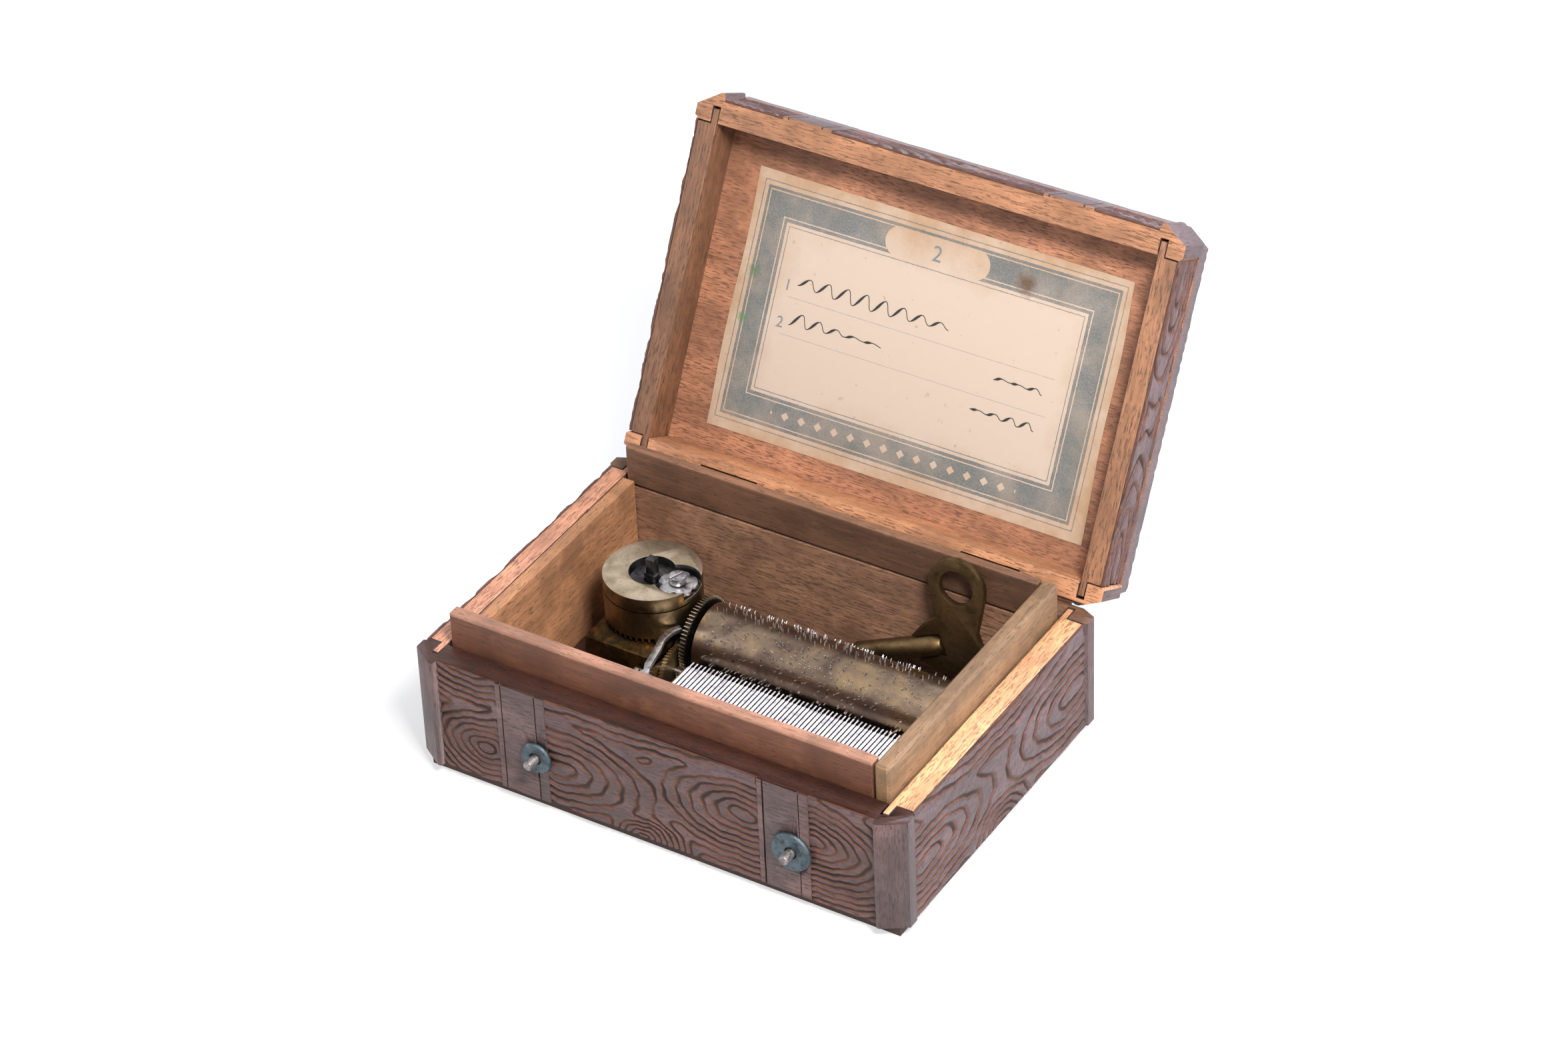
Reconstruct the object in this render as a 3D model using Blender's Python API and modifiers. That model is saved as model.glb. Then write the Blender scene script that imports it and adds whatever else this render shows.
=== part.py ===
"""Key-wound cylinder musical box in a carved wooden snuff-box case.

The case stands on the plane z = 0 with its footprint centred on the origin.
+X runs to the right along the front, +Y to the back and +Z up. The lid is
modelled closed and then swung open about its hinge pins.
"""

import math

import bmesh
import bpy
from mathutils import Matrix, Vector

MM = 0.001

# Clearances
GAP = 0.3 * MM
RUNNING_GAP = 0.3 * MM
LINER_GAP = 0.4 * MM
LID_SWEEP_GAP = 0.6 * MM

# Case
LENGTH = 120.0 * MM
WIDTH = 83.0 * MM
BODY_HEIGHT = 30.4 * MM
FRONT_WALL = 6.1 * MM
BACK_WALL = 5.6 * MM
LEFT_WALL = 4.9 * MM
RIGHT_WALL = 6.0 * MM
TONGUE_THICKNESS = 1.4 * MM
TONGUE_LENGTH = 3.4 * MM
BOARD_THICKNESS = 2.4 * MM
BOARD_INSET = 1.8 * MM
FIELD_DEPTH = 0.40 * MM
MIDDLE_FIELD_DEPTH = 0.32 * MM
STRAP_FOOT_DEPTH = 0.36 * MM

# Corner posts
POST_PROUD = 1.0 * MM
POST_SIDE_PROUD = 0.3 * MM
POST_FACET_LENGTH = 5.1 * MM
POST_FACET_DEPTH = 2.5 * MM
POST_LENGTH = 5.9 * MM
POST_DEPTH = 5.1 * MM
POST_GROOVE = 0.4 * MM

# Straps carved across the front and the back
STRAP_FIRST = 21.2 * MM
STRAP_WIDTH = 12.2 * MM
STRAP_FROM_RIGHT = 22.0 * MM
STRAP_SECOND = LENGTH - STRAP_FROM_RIGHT - STRAP_WIDTH
STRAP_NARROW_BEAD = 1.3 * MM
STRAP_WIDE_BEAD = 2.4 * MM
STRAP_GROOVE_WIDTH = 0.4 * MM
STRAP_GROOVE_DEPTH = 0.3 * MM

# Ovals of the carving: field, share of the way along it, height, and steps from ring to ring
OVAL_RINGS = (2, 4)
OVAL_GROOVE = 0.35 * MM
OVAL_DEPTH = 0.26 * MM
OVAL_STEPS = 20
OVAL_MARGIN = 0.5 * MM
FRONT_OVALS = (
    (0, 0.78, 11.4 * MM, 2.2 * MM, 1.35 * MM),
    (1, 0.06, 13.1 * MM, 3.9 * MM, 2.0 * MM),
    (1, 0.92, 18.5 * MM, 3.2 * MM, 1.5 * MM),
    (2, 0.03, 18.2 * MM, 2.7 * MM, 1.45 * MM),
)
BACK_OVALS = (
    (0, 0.52, 18.0 * MM, 2.6 * MM, 1.5 * MM),
    (1, 0.09, 11.0 * MM, 4.2 * MM, 1.7 * MM),
    (1, 0.62, 20.0 * MM, 4.6 * MM, 1.6 * MM),
    (2, 0.51, 17.0 * MM, 2.4 * MM, 1.4 * MM),
)
SIDE_OVALS = (
    (0, 0.01, 14.7 * MM, 4.9 * MM, 1.75 * MM),
    (0, 0.98, 13.9 * MM, 5.0 * MM, 1.85 * MM),
)

# Liners inside the case
LINER_STAND = 8.6 * MM
FRONT_LINER = 2.9 * MM
RIGHT_LINER = 3.6 * MM
LEFT_LINER = 2.9 * MM
BACK_LINER = 2.1 * MM
BACK_STRIP_HEIGHT = 9.8 * MM
LINER_BEVEL = 0.6 * MM

# Lid
LID_WALL_HEIGHT = 9.3 * MM
LID_TOP_THICKNESS = 5.1 * MM
LID_TOP_CHAMFER = 1.6 * MM
LID_FRONT_WALL = 5.8 * MM
LID_SIDE_WALL = 5.4 * MM
LID_BACK_WALL = 5.4 * MM
LID_OPEN_ANGLE = math.radians(118.0)
LABEL_THICKNESS = 0.15 * MM
LABEL_MARGIN_SIDE = 8.2 * MM
LABEL_MARGIN_FRONT = 7.7 * MM
LABEL_MARGIN_BACK = 6.2 * MM

# Butt hinges of the lid
HINGE_SET_IN = 0.5 * MM
HINGE_LENGTH = 14.0 * MM
HINGE_FROM_END = 20.0 * MM
HINGE_KNUCKLE_RADIUS = 1.3 * MM
HINGE_PIN_RADIUS = 0.5 * MM
HINGE_LEAF_THICKNESS = 0.8 * MM
HINGE_LEAF_DEPTH = 2.7 * MM
HINGE_MIDDLE_SHARE = 0.32
BACK_CHAMFER = 1.0 * MM

# Bedplate
BED_THICKNESS = 1.2 * MM
BED_MARGIN_LEFT = 3.9 * MM
BED_MARGIN_RIGHT = 3.4 * MM
BED_MARGIN_FRONT = 2.7 * MM
BED_MARGIN_BACK = 7.4 * MM
BED_SCREW_INSET = 2.6 * MM
BED_SCREW_RADIUS = 1.2 * MM
BED_SCREW_HEAD_RADIUS = 2.0 * MM
BED_SCREW_HEAD_HEIGHT = 1.1 * MM

# Gears: numbers of teeth and modules
CROWN_TEETH = 48
BARREL_PINION_TEETH = 12
CROWN_MODULE = 0.408 * MM
GREAT_WHEEL_TEETH = 64
SECOND_PINION_TEETH = 8
GREAT_MODULE = 0.28 * MM
SECOND_WHEEL_TEETH = 44
THIRD_PINION_TEETH = 8
SECOND_MODULE = 0.25 * MM
THIRD_WHEEL_TEETH = 30
THIRD_MODULE = 0.30 * MM
ADDENDUM = 0.85
DEDENDUM = 1.25
TOOTH_SHARE_ROOT = 0.46
TOOTH_SHARE_TIP = 0.26

# Spring barrel and its bridge
BARREL_FROM_LEFT = 26.5 * MM
TRAIN_FROM_BACK = 30.0 * MM
TRAIN_FROM_FRONT = WIDTH - TRAIN_FROM_BACK
BARREL_RIM = 1.15 * MM
BARREL_HEIGHT = 10.45 * MM
BARREL_WALL = 1.1 * MM
BARREL_FLOOR = 1.15 * MM
CROWN_DEPTH = 0.9 * MM
CROWN_WIDTH = 1.9 * MM
CAP_THICKNESS = 3.4 * MM
RECESS_RADIUS = 5.2 * MM
RECESS_DEPTH = 2.3 * MM
STOP_WHEEL_OFFSET = 6.5 * MM
STOP_WHEEL_RADIUS = 4.3 * MM
STOP_WHEEL_THICKNESS = 1.0 * MM
STOP_WHEEL_NOTCHES = 5
STOP_NOTCH_DEPTH = 1.1 * MM
STOP_NOTCH_ANGLE = math.radians(9.0)
STOP_SCREW_HEAD_RADIUS = 1.9 * MM
STOP_SCREW_HEAD_HEIGHT = 1.7 * MM
STOP_SCREW_RADIUS = 0.8 * MM
ARBOR_RADIUS = 1.5 * MM
ARBOR_PIVOT_RADIUS = 1.0 * MM
ARBOR_HUB_RADIUS = 2.1 * MM
WINDING_SQUARE = 2.0 * MM
WINDING_SQUARE_HEIGHT = 3.9 * MM
BRIDGE_WIDTH = 16.5 * MM
BRIDGE_FRONT = 14.0 * MM
BRIDGE_BACK = 11.0 * MM
BRIDGE_TOP_THICKNESS = 2.8 * MM
BRIDGE_LEG = 2.6 * MM
SPRING_TURNS = 6
SPRING_THICKNESS = 0.5 * MM
SPRING_HEIGHT = 5.0 * MM
SPRING_POINTS_A_TURN = 18
RATCHET_TEETH = 18
RATCHET_RADIUS = 5.0 * MM
RATCHET_TOOTH_DEPTH = 0.8 * MM
RATCHET_THICKNESS = 1.4 * MM
RATCHET_ABOVE_BED = 2.1 * MM
CLICK_PIVOT_LEFT = 6.5 * MM
CLICK_PIVOT_FRONT = 7.5 * MM
CLICK_WIDTH = 2.0 * MM
CLICK_THICKNESS = 1.2 * MM
CLICK_NOSE_ANGLE = math.radians(-100.0)
CLICK_PIN_RADIUS = 0.5 * MM
CLICK_SPRING_THICKNESS = 0.4 * MM
CLICK_SPRING_LENGTH = 7.0 * MM
CLICK_SPRING_GAP = 0.5 * MM

# Pinned cylinder
CYLINDER_RADIUS = 8.4 * MM
CYLINDER_WALL = 0.8 * MM
CYLINDER_CAP_THICKNESS = 1.0 * MM
PIN_HEIGHT = 0.7 * MM
PIN_SIZE = 0.34 * MM
PINS_A_TRACK = 3
CYLINDER_ARBOR_RADIUS = 1.2 * MM
CYLINDER_PIVOT_RADIUS = 0.6 * MM
HUB_RADIUS = 3.6 * MM
HUB_LENGTH = 0.8 * MM
SHIFT_TRAVEL = 0.5 * MM
RIGHT_CLEAR_SPACE = 10.0 * MM

# Wheels and plates of the train, from the left plate to the cylinder
PLATE_THICKNESS = 0.8 * MM
PINION_WIDTH = 1.6 * MM
THIRD_WHEEL_WIDTH = 1.0 * MM
SECOND_WHEEL_WIDTH = 1.0 * MM
GREAT_WHEEL_WIDTH = 1.4 * MM
RIGHT_PLATE_THICKNESS = 0.7 * MM
TRAIN_SPACING = 0.3 * MM
GREAT_TO_SECOND_SPACING = 0.7 * MM
WHEEL_ARBOR_RADIUS = 0.9 * MM
WHEEL_PIVOT_RADIUS = 0.5 * MM
WHEEL_BED_CLEARANCE = 0.36 * MM
THIRD_AXIS_DROP = 0.8 * MM

# Governor
WORM_CORE_RADIUS = 0.5 * MM
WORM_THREAD_CENTRE = 0.66 * MM
WORM_THREAD_RADIUS = 0.22 * MM
WORM_AXIS_DISTANCE = 5.4 * MM
WORM_TURNS = 5
WORM_POINTS_A_TURN = 12
FAN_SPAN = 6.4 * MM
FAN_HEIGHT = 2.6 * MM
FAN_THICKNESS = 0.4 * MM
FAN_ABOVE_BED = 9.6 * MM
FAN_HUB_RADIUS = 1.3 * MM
COCK_WIDTH = 2.0 * MM
COCK_ARM = 1.0 * MM
COCK_POST = 2.2 * MM
COCK_REACH = 5.0 * MM

# Comb
TOOTH_PITCH = 1.03 * MM
TOOTH_WIDTH = 0.72 * MM
TOOTH_TIP_WIDTH = 0.36 * MM
TOOTH_TIP_LENGTH = 1.7 * MM
TOOTH_LENGTH = 12.1 * MM
COMB_BODY = 7.0 * MM
COMB_THICKNESS = 1.5 * MM
COMB_ABOVE_AXIS = 0.5 * MM
COMB_TIP_CLEARANCE = 0.3 * MM
COMB_END_MARGIN = 1.0 * MM
COMB_SCREWS = 5
COMB_SCREW_RADIUS = 1.0 * MM
COMB_SCREW_HEAD_RADIUS = 1.8 * MM
COMB_SCREW_HEAD_HEIGHT = 1.1 * MM
COMB_SCREW_LENGTH = 6.0 * MM

# Start and change controls
KNOB_HEIGHT = 14.6 * MM
START_KNOB_FROM_STRAP = 9.9 * MM
CHANGE_KNOB_FROM_STRAP = 8.3 * MM
ROD_RADIUS = 1.1 * MM
ROD_PROUD = 4.2 * MM
START_WASHER_RADIUS = 3.8 * MM
CHANGE_WASHER_RADIUS = 4.75 * MM
WASHER_THICKNESS = 1.0 * MM
LEVER_THICKNESS = 1.0 * MM
LEVER_WIDTH = 1.5 * MM
LEVER_ABOVE_AXIS = 5.0 * MM
START_RISER_TO_WORM = 6.9 * MM
LEVER_START_BEND = 2.2 * MM
LEVER_OVER_WHEEL = 0.7 * MM
LEVER_BEND_LENGTH = 5.6 * MM
LEVER_BOW = 2.4 * MM
LEVER_FAR_BEND = 11.3 * MM
LEVER_NEAR_BEND = 8.0 * MM
LEVER_TIP = 6.0 * MM
CHANGE_RISER_TO_COMB = 3.6 * MM
RISER_LENGTH = 3.0 * MM
RISER_SIDE = 0.9 * MM
CHANGE_BAR_WIDTH = 2.6 * MM
CHANGE_BAR_BELOW_AXIS = 2.0 * MM
CHANGE_TRAVEL = 2.5 * MM
START_TRAVEL = 2.5 * MM

# Key
KEY_THICKNESS = 1.5 * MM
KEY_LOBE_RADIUS = 6.9 * MM
KEY_HOLE_RADIUS = 4.1 * MM
KEY_LOBE_OFFSET = 12.7 * MM
KEY_SHANK_RADIUS = 2.45 * MM
KEY_SHANK_START = 8.6 * MM
KEY_SHANK_LENGTH = 23.0 * MM
KEY_SOCKET = 2.6 * MM
KEY_SOCKET_DEPTH = 9.0 * MM
KEY_SHANK_DROP = math.radians(24.3)
KEY_LEAN = math.radians(7.0)

# Heights and places that follow from the sizes above
RIM = BODY_HEIGHT
WALL_FOOT = BOARD_THICKNESS + GAP
BED_BOTTOM = BOARD_THICKNESS + GAP
BED_TOP = BED_BOTTOM + BED_THICKNESS
LINER_TOP = RIM + LINER_STAND
LID_FOOT = RIM + GAP
LID_CEILING = LID_FOOT + LID_WALL_HEIGHT + GAP

CROWN_RADIUS = CROWN_TEETH * CROWN_MODULE / 2
BARREL_PINION_RADIUS = BARREL_PINION_TEETH * CROWN_MODULE / 2
GREAT_RADIUS = GREAT_WHEEL_TEETH * GREAT_MODULE / 2
SECOND_PINION_RADIUS = SECOND_PINION_TEETH * GREAT_MODULE / 2
SECOND_RADIUS = SECOND_WHEEL_TEETH * SECOND_MODULE / 2
THIRD_PINION_RADIUS = THIRD_PINION_TEETH * SECOND_MODULE / 2
THIRD_RADIUS = THIRD_WHEEL_TEETH * THIRD_MODULE / 2
WORM_PITCH = math.pi * THIRD_MODULE

AXIS_Z = BED_TOP + GREAT_RADIUS + ADDENDUM * GREAT_MODULE + WHEEL_BED_CLEARANCE
SECOND_Z = BED_TOP + SECOND_RADIUS + ADDENDUM * SECOND_MODULE + WHEEL_BED_CLEARANCE
SECOND_Y = TRAIN_FROM_FRONT - math.sqrt(
    (GREAT_RADIUS + SECOND_PINION_RADIUS) ** 2 - (AXIS_Z - SECOND_Z) ** 2)
THIRD_Z = SECOND_Z - THIRD_AXIS_DROP
THIRD_Y = SECOND_Y - math.sqrt(
    (SECOND_RADIUS + THIRD_PINION_RADIUS) ** 2 - THIRD_AXIS_DROP ** 2)
WORM_Y = THIRD_Y - WORM_AXIS_DISTANCE
START_ROD_INSIDE = WORM_Y - START_RISER_TO_WORM

CROWN_PITCH_Z = AXIS_Z + BARREL_PINION_RADIUS
DRUM_BOTTOM = CROWN_PITCH_Z + CROWN_DEPTH - ADDENDUM * CROWN_MODULE
CROWN_TIP_Z = DRUM_BOTTOM - CROWN_DEPTH
DRUM_RADIUS = CROWN_RADIUS + BARREL_RIM
BARREL_TOP = DRUM_BOTTOM + BARREL_HEIGHT
CAP_BOTTOM = BARREL_TOP - CAP_THICKNESS
DRUM_TOP = CAP_BOTTOM - GAP
RECESS_FLOOR = BARREL_TOP - RECESS_DEPTH
BRIDGE_TOP = CROWN_TIP_Z - 2 * GAP

PINION_X = BARREL_FROM_LEFT + CROWN_RADIUS
PINION_LEFT = PINION_X - PINION_WIDTH / 2
LEFT_PLATE_X = PINION_LEFT - 2 * TRAIN_SPACING - PLATE_THICKNESS
THIRD_WHEEL_X = LEFT_PLATE_X + PLATE_THICKNESS + TRAIN_SPACING
SECOND_WHEEL_X = THIRD_WHEEL_X + THIRD_WHEEL_WIDTH + TRAIN_SPACING
GREAT_WHEEL_X = SECOND_WHEEL_X + SECOND_WHEEL_WIDTH + GREAT_TO_SECOND_SPACING
RIGHT_PLATE_X = GREAT_WHEEL_X + GREAT_WHEEL_WIDTH + TRAIN_SPACING
CYLINDER_LEFT = RIGHT_PLATE_X + RIGHT_PLATE_THICKNESS + TRAIN_SPACING
RIGHT_INSIDE = LENGTH - RIGHT_WALL - LINER_GAP - RIGHT_LINER
CYLINDER_RIGHT = RIGHT_INSIDE - RIGHT_CLEAR_SPACE
HUB_RIGHT = CYLINDER_RIGHT + HUB_LENGTH
CHANGE_BAR_X = HUB_RIGHT + RUNNING_GAP
BRACKET_X = CHANGE_BAR_X + CHANGE_BAR_WIDTH + RUNNING_GAP
CYLINDER_ARBOR_END = BRACKET_X + PLATE_THICKNESS + GAP

FRONT_INSIDE = FRONT_WALL + LINER_GAP + FRONT_LINER
BACK_INSIDE = WIDTH - BACK_WALL - GAP - BACK_LINER
LEFT_INSIDE = LEFT_WALL + GAP + LEFT_LINER

COMB_TOP = AXIS_Z + COMB_ABOVE_AXIS
COMB_TIPS = TRAIN_FROM_FRONT - CYLINDER_RADIUS - PIN_HEIGHT - COMB_TIP_CLEARANCE
COMB_ROOT = COMB_TIPS - TOOTH_LENGTH
COMB_FRONT = COMB_ROOT - COMB_BODY
CHANGE_ROD_INSIDE = COMB_FRONT - CHANGE_RISER_TO_COMB - RISER_LENGTH / 2
COMB_LEFT = CYLINDER_LEFT + COMB_END_MARGIN
TOOTH_COUNT = int((CYLINDER_RIGHT - COMB_END_MARGIN - COMB_LEFT) / TOOTH_PITCH)
COMB_RIGHT = COMB_LEFT + TOOTH_COUNT * TOOTH_PITCH

START_KNOB_X = STRAP_FIRST + START_KNOB_FROM_STRAP
CHANGE_KNOB_X = STRAP_SECOND + CHANGE_KNOB_FROM_STRAP
LEVER_Z = AXIS_Z + LEVER_ABOVE_AXIS
CHANGE_BAR_Z = AXIS_Z - CHANGE_BAR_BELOW_AXIS - LEVER_THICKNESS

HINGE_Y = WIDTH - HINGE_SET_IN
HINGE_Z = RIM + GAP / 2

# Turns that lay a drawing's plane across the case
ALONG_X = (math.pi / 2, 0.0, math.pi / 2)
ALONG_Y = (math.pi / 2, 0.0, 0.0)
UPRIGHT = (0.0, 0.0, 0.0)

ROUND_STEPS = 24
WIDE_STEPS = 48


def spot(from_left, from_front, height):
    """Place measured from the case's left end, its front and its base."""
    return Vector((from_left - LENGTH / 2, from_front - WIDTH / 2, height))


# Scene set-up

def clear_scene():
    for thing in list(bpy.data.objects):
        bpy.data.objects.remove(thing, do_unlink=True)


def collection(name):
    group = bpy.data.collections.new(name)
    bpy.context.scene.collection.children.link(group)
    return group


def finish(name, colour, roughness, metallic):
    material = bpy.data.materials.new(name)
    material.use_nodes = True
    shader = material.node_tree.nodes["Principled BSDF"]
    shader.inputs["Base Color"].default_value = (*colour, 1.0)
    shader.inputs["Roughness"].default_value = roughness
    shader.inputs["Metallic"].default_value = metallic
    material.diffuse_color = (*colour, 1.0)
    return material


clear_scene()
PARTS = collection("music_box")
CUTTERS = collection("cutters")

CARVED_WOOD = finish("carved_wood", (0.10, 0.055, 0.035), 0.65, 0.0)
PLAIN_WOOD = finish("plain_wood", (0.36, 0.17, 0.07), 0.7, 0.0)
LINER_WOOD = finish("liner_wood", (0.22, 0.12, 0.06), 0.65, 0.0)
PAPER = finish("paper", (0.72, 0.60, 0.42), 0.9, 0.0)
BRASS = finish("aged_brass", (0.38, 0.28, 0.14), 0.4, 1.0)
DARK_BRASS = finish("dark_brass", (0.15, 0.10, 0.05), 0.5, 1.0)
BRONZE = finish("cylinder_bronze", (0.30, 0.20, 0.12), 0.38, 1.0)
STEEL = finish("steel", (0.42, 0.42, 0.45), 0.35, 1.0)
DARK_STEEL = finish("dark_steel", (0.08, 0.08, 0.08), 0.4, 1.0)
COMB_STEEL = finish("comb_steel", (0.55, 0.54, 0.58), 0.35, 1.0)
PATINA = finish("knob_patina", (0.17, 0.21, 0.21), 0.6, 0.6)


# Solids

def add_object(name, data, place, turn=UPRIGHT):
    thing = bpy.data.objects.new(name, data)
    PARTS.objects.link(thing)
    thing.location = place
    thing.rotation_euler = turn
    return thing


def dress(thing, material, smooth=False):
    thing.data.materials.clear()
    thing.data.materials.append(material)
    if smooth:
        thing.data.shade_smooth()
        thing.data.set_sharp_from_angle(angle=math.radians(35.0))


def block(name, low, high, material):
    """Box between two corners, with its origin at its middle."""
    size = high - low
    bm = bmesh.new()
    bmesh.ops.create_cube(bm, size=1.0)
    bmesh.ops.scale(bm, vec=size, verts=bm.verts)
    mesh = bpy.data.meshes.new(name)
    bm.to_mesh(mesh)
    bm.free()
    thing = add_object(name, mesh, (low + high) / 2)
    dress(thing, material)
    return thing


def ring(radius, count, centre=(0.0, 0.0)):
    points = []
    for step in range(count):
        angle = 2 * math.pi * step / count
        points.append((centre[0] + radius * math.cos(angle),
                       centre[1] + radius * math.sin(angle)))
    return points


def plate(name, outline, thickness, place, material, turn=UPRIGHT, holes=()):
    """Flat outline, with holes, drawn in millimetres in its own plane, given a thickness."""
    curve = bpy.data.curves.new(name, "CURVE")
    curve.dimensions = "2D"
    curve.fill_mode = "BOTH"
    curve.extrude = thickness / 2 / MM
    for points in (outline, *holes):
        spline = curve.splines.new("POLY")
        spline.points.add(len(points) - 1)
        for target, (x, y) in zip(spline.points, points):
            target.co = (x / MM, y / MM, 0.0, 1.0)
        spline.use_cyclic_u = True
    drawing = add_object(name + "_drawing", curve, place, turn)
    return solid_from_curve(name, drawing, material, MM)


def solid_from_curve(name, drawing, material, scale=1.0):
    """Turn a curve object into a mesh object with its caps welded on."""
    bpy.context.view_layer.update()
    graph = bpy.context.evaluated_depsgraph_get()
    mesh = bpy.data.meshes.new_from_object(drawing.evaluated_get(graph))
    bm = bmesh.new()
    bm.from_mesh(mesh)
    bmesh.ops.remove_doubles(bm, verts=bm.verts, dist=0.001 * MM / scale)
    bmesh.ops.scale(bm, vec=(scale, scale, scale), verts=bm.verts)
    bmesh.ops.recalc_face_normals(bm, faces=bm.faces)
    bm.to_mesh(mesh)
    bm.free()
    mesh.name = name
    thing = add_object(name, mesh, (0.0, 0.0, 0.0))
    thing.matrix_world = drawing.matrix_world.copy()
    bpy.data.objects.remove(drawing, do_unlink=True)
    dress(thing, material)
    return thing


def turned(name, profile, place, material, turn=UPRIGHT, steps=ROUND_STEPS, closed=False):
    """Profile of (radius, height) points, turned about the piece's own Z axis."""
    bm = bmesh.new()
    verts = [bm.verts.new((radius, 0.0, height)) for radius, height in profile]
    for first, second in zip(verts, verts[1:]):
        bm.edges.new((first, second))
    if closed:
        bm.edges.new((verts[-1], verts[0]))
    mesh = bpy.data.meshes.new(name)
    bm.to_mesh(mesh)
    bm.free()
    thing = add_object(name, mesh, place, turn)
    dress(thing, material)
    lathe = thing.modifiers.new("lathe", "SCREW")
    lathe.axis = "Z"
    lathe.steps = steps
    lathe.render_steps = steps
    lathe.use_merge_vertices = True
    lathe.merge_threshold = 0.002 * MM
    lathe.use_smooth_shade = True
    return thing


def tube(name, outer, bore, length, place, material, turn=UPRIGHT, steps=ROUND_STEPS):
    """Open tube from its own z = 0 up to its length."""
    profile = [(outer, length), (outer, 0.0), (bore, 0.0), (bore, length)]
    return turned(name, profile, place, material, turn, steps, closed=True)


def rod(name, sections, place, material, turn=UPRIGHT, steps=ROUND_STEPS):
    """Solid turned shaft: (radius, from, to) sections listed from the top down."""
    profile = [(0.0, sections[0][2])]
    for radius, low, high in sections:
        profile.append((radius, high))
        profile.append((radius, low))
    profile.append((0.0, sections[-1][1]))
    return turned(name, profile, place, material, turn, steps)


def change_shape(target, other, operation):
    modifier = target.modifiers.new(other.name, "BOOLEAN")
    modifier.operation = operation
    modifier.object = other
    modifier.solver = "EXACT"
    PARTS.objects.unlink(other)
    CUTTERS.objects.link(other)
    other.hide_render = True
    other.display_type = "WIRE"


def cut(target, cutter):
    change_shape(target, cutter, "DIFFERENCE")


def join(target, other):
    change_shape(target, other, "UNION")


def bore(target, name, radius, low, length, turn=UPRIGHT):
    """Round hole that starts at low and runs along the turned Z axis."""
    sections = [(radius, 0.0, length)]
    cut(target, rod(name, sections, low, DARK_STEEL, turn))


def soften(thing, width, angle=50.0):
    edge = thing.modifiers.new("edge", "BEVEL")
    edge.width = width
    edge.segments = 1
    edge.limit_method = "ANGLE"
    edge.angle_limit = math.radians(angle)


def axis_empty(name, place):
    """Empty on a joint's axis that carries the pieces moving with it."""
    empty = bpy.data.objects.new(name, None)
    empty.empty_display_size = 5 * MM
    PARTS.objects.link(empty)
    empty.location = place
    return empty


def carry(empty, pieces):
    """Parent pieces and the shapes that cut or join them to an empty."""
    back = Matrix.Translation(empty.location).inverted()
    for piece in pieces:
        helpers = [m.object for m in piece.modifiers if m.type == "BOOLEAN"]
        for follower in (piece, *helpers):
            follower.parent = empty
            follower.matrix_parent_inverse = back


# Outlines

def strap_points(start, left_depth, right_depth):
    """Outline of a strap with two grooves, from left to right, on the outer face."""
    band_start = start + STRAP_NARROW_BEAD
    band_end = start + STRAP_WIDTH - STRAP_WIDE_BEAD
    groove = STRAP_GROOVE_WIDTH / 2
    points = [(start, left_depth), (start, 0.0)]
    for middle in (band_start, band_end):
        points.append((middle - groove, 0.0))
        points.append((middle, STRAP_GROOVE_DEPTH))
        points.append((middle + groove, 0.0))
    points.append((start + STRAP_WIDTH, 0.0))
    points.append((start + STRAP_WIDTH, right_depth))
    return points


def post_points(proud):
    """Left-hand corner post, from the joint with the side wall to the front groove."""
    return [
        (FIELD_DEPTH, POST_DEPTH + POST_GROOVE),
        (-POST_SIDE_PROUD, POST_DEPTH),
        (-POST_SIDE_PROUD, POST_FACET_DEPTH),
        (POST_FACET_LENGTH, -proud),
        (POST_LENGTH, -proud),
        (POST_LENGTH + POST_GROOVE, FIELD_DEPTH),
    ]


def long_wall_outline(depth, proud, left_side, right_side):
    """Plan of a long wall with corner posts, straps and slots for two tongues."""
    left = post_points(proud)
    right = [(LENGTH - x, y) for x, y in reversed(left)]
    slot_depth = depth - TONGUE_LENGTH - GAP
    slot_half = TONGUE_THICKNESS + 2 * GAP
    outline = [(FIELD_DEPTH, depth)] + left
    outline += strap_points(STRAP_FIRST, STRAP_FOOT_DEPTH, MIDDLE_FIELD_DEPTH)
    outline += strap_points(STRAP_SECOND, MIDDLE_FIELD_DEPTH, STRAP_FOOT_DEPTH)
    outline += right
    outline += [(LENGTH - FIELD_DEPTH, depth)]
    right_slot = LENGTH - right_side + TONGUE_THICKNESS + GAP
    outline += [
        (right_slot, depth),
        (right_slot, slot_depth),
        (right_slot - slot_half, slot_depth),
        (right_slot - slot_half, depth),
    ]
    left_slot = left_side + GAP
    outline += [
        (left_slot, depth),
        (left_slot, slot_depth),
        (left_slot - slot_half, slot_depth),
        (left_slot - slot_half, depth),
    ]
    return outline


def side_wall_outline(thickness, front_depth, back_depth):
    """Plan of a left-hand side wall between two long walls, with its tongues."""
    front = front_depth + GAP
    back = WIDTH - back_depth - GAP
    tongue = thickness - TONGUE_THICKNESS
    return [
        (FIELD_DEPTH, front),
        (tongue, front),
        (tongue, front - TONGUE_LENGTH),
        (thickness, front - TONGUE_LENGTH),
        (thickness, back + TONGUE_LENGTH),
        (tongue, back + TONGUE_LENGTH),
        (tongue, back),
        (FIELD_DEPTH, back),
    ]


def from_corner(points):
    """Plan points measured from the left front corner, moved to the case's frame."""
    return [(x - LENGTH / 2, y - WIDTH / 2) for x, y in points]


def mirrored(points):
    return [(LENGTH - x, y) for x, y in points]


def turned_round(points):
    return [(x, WIDTH - y) for x, y in points]


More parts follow.
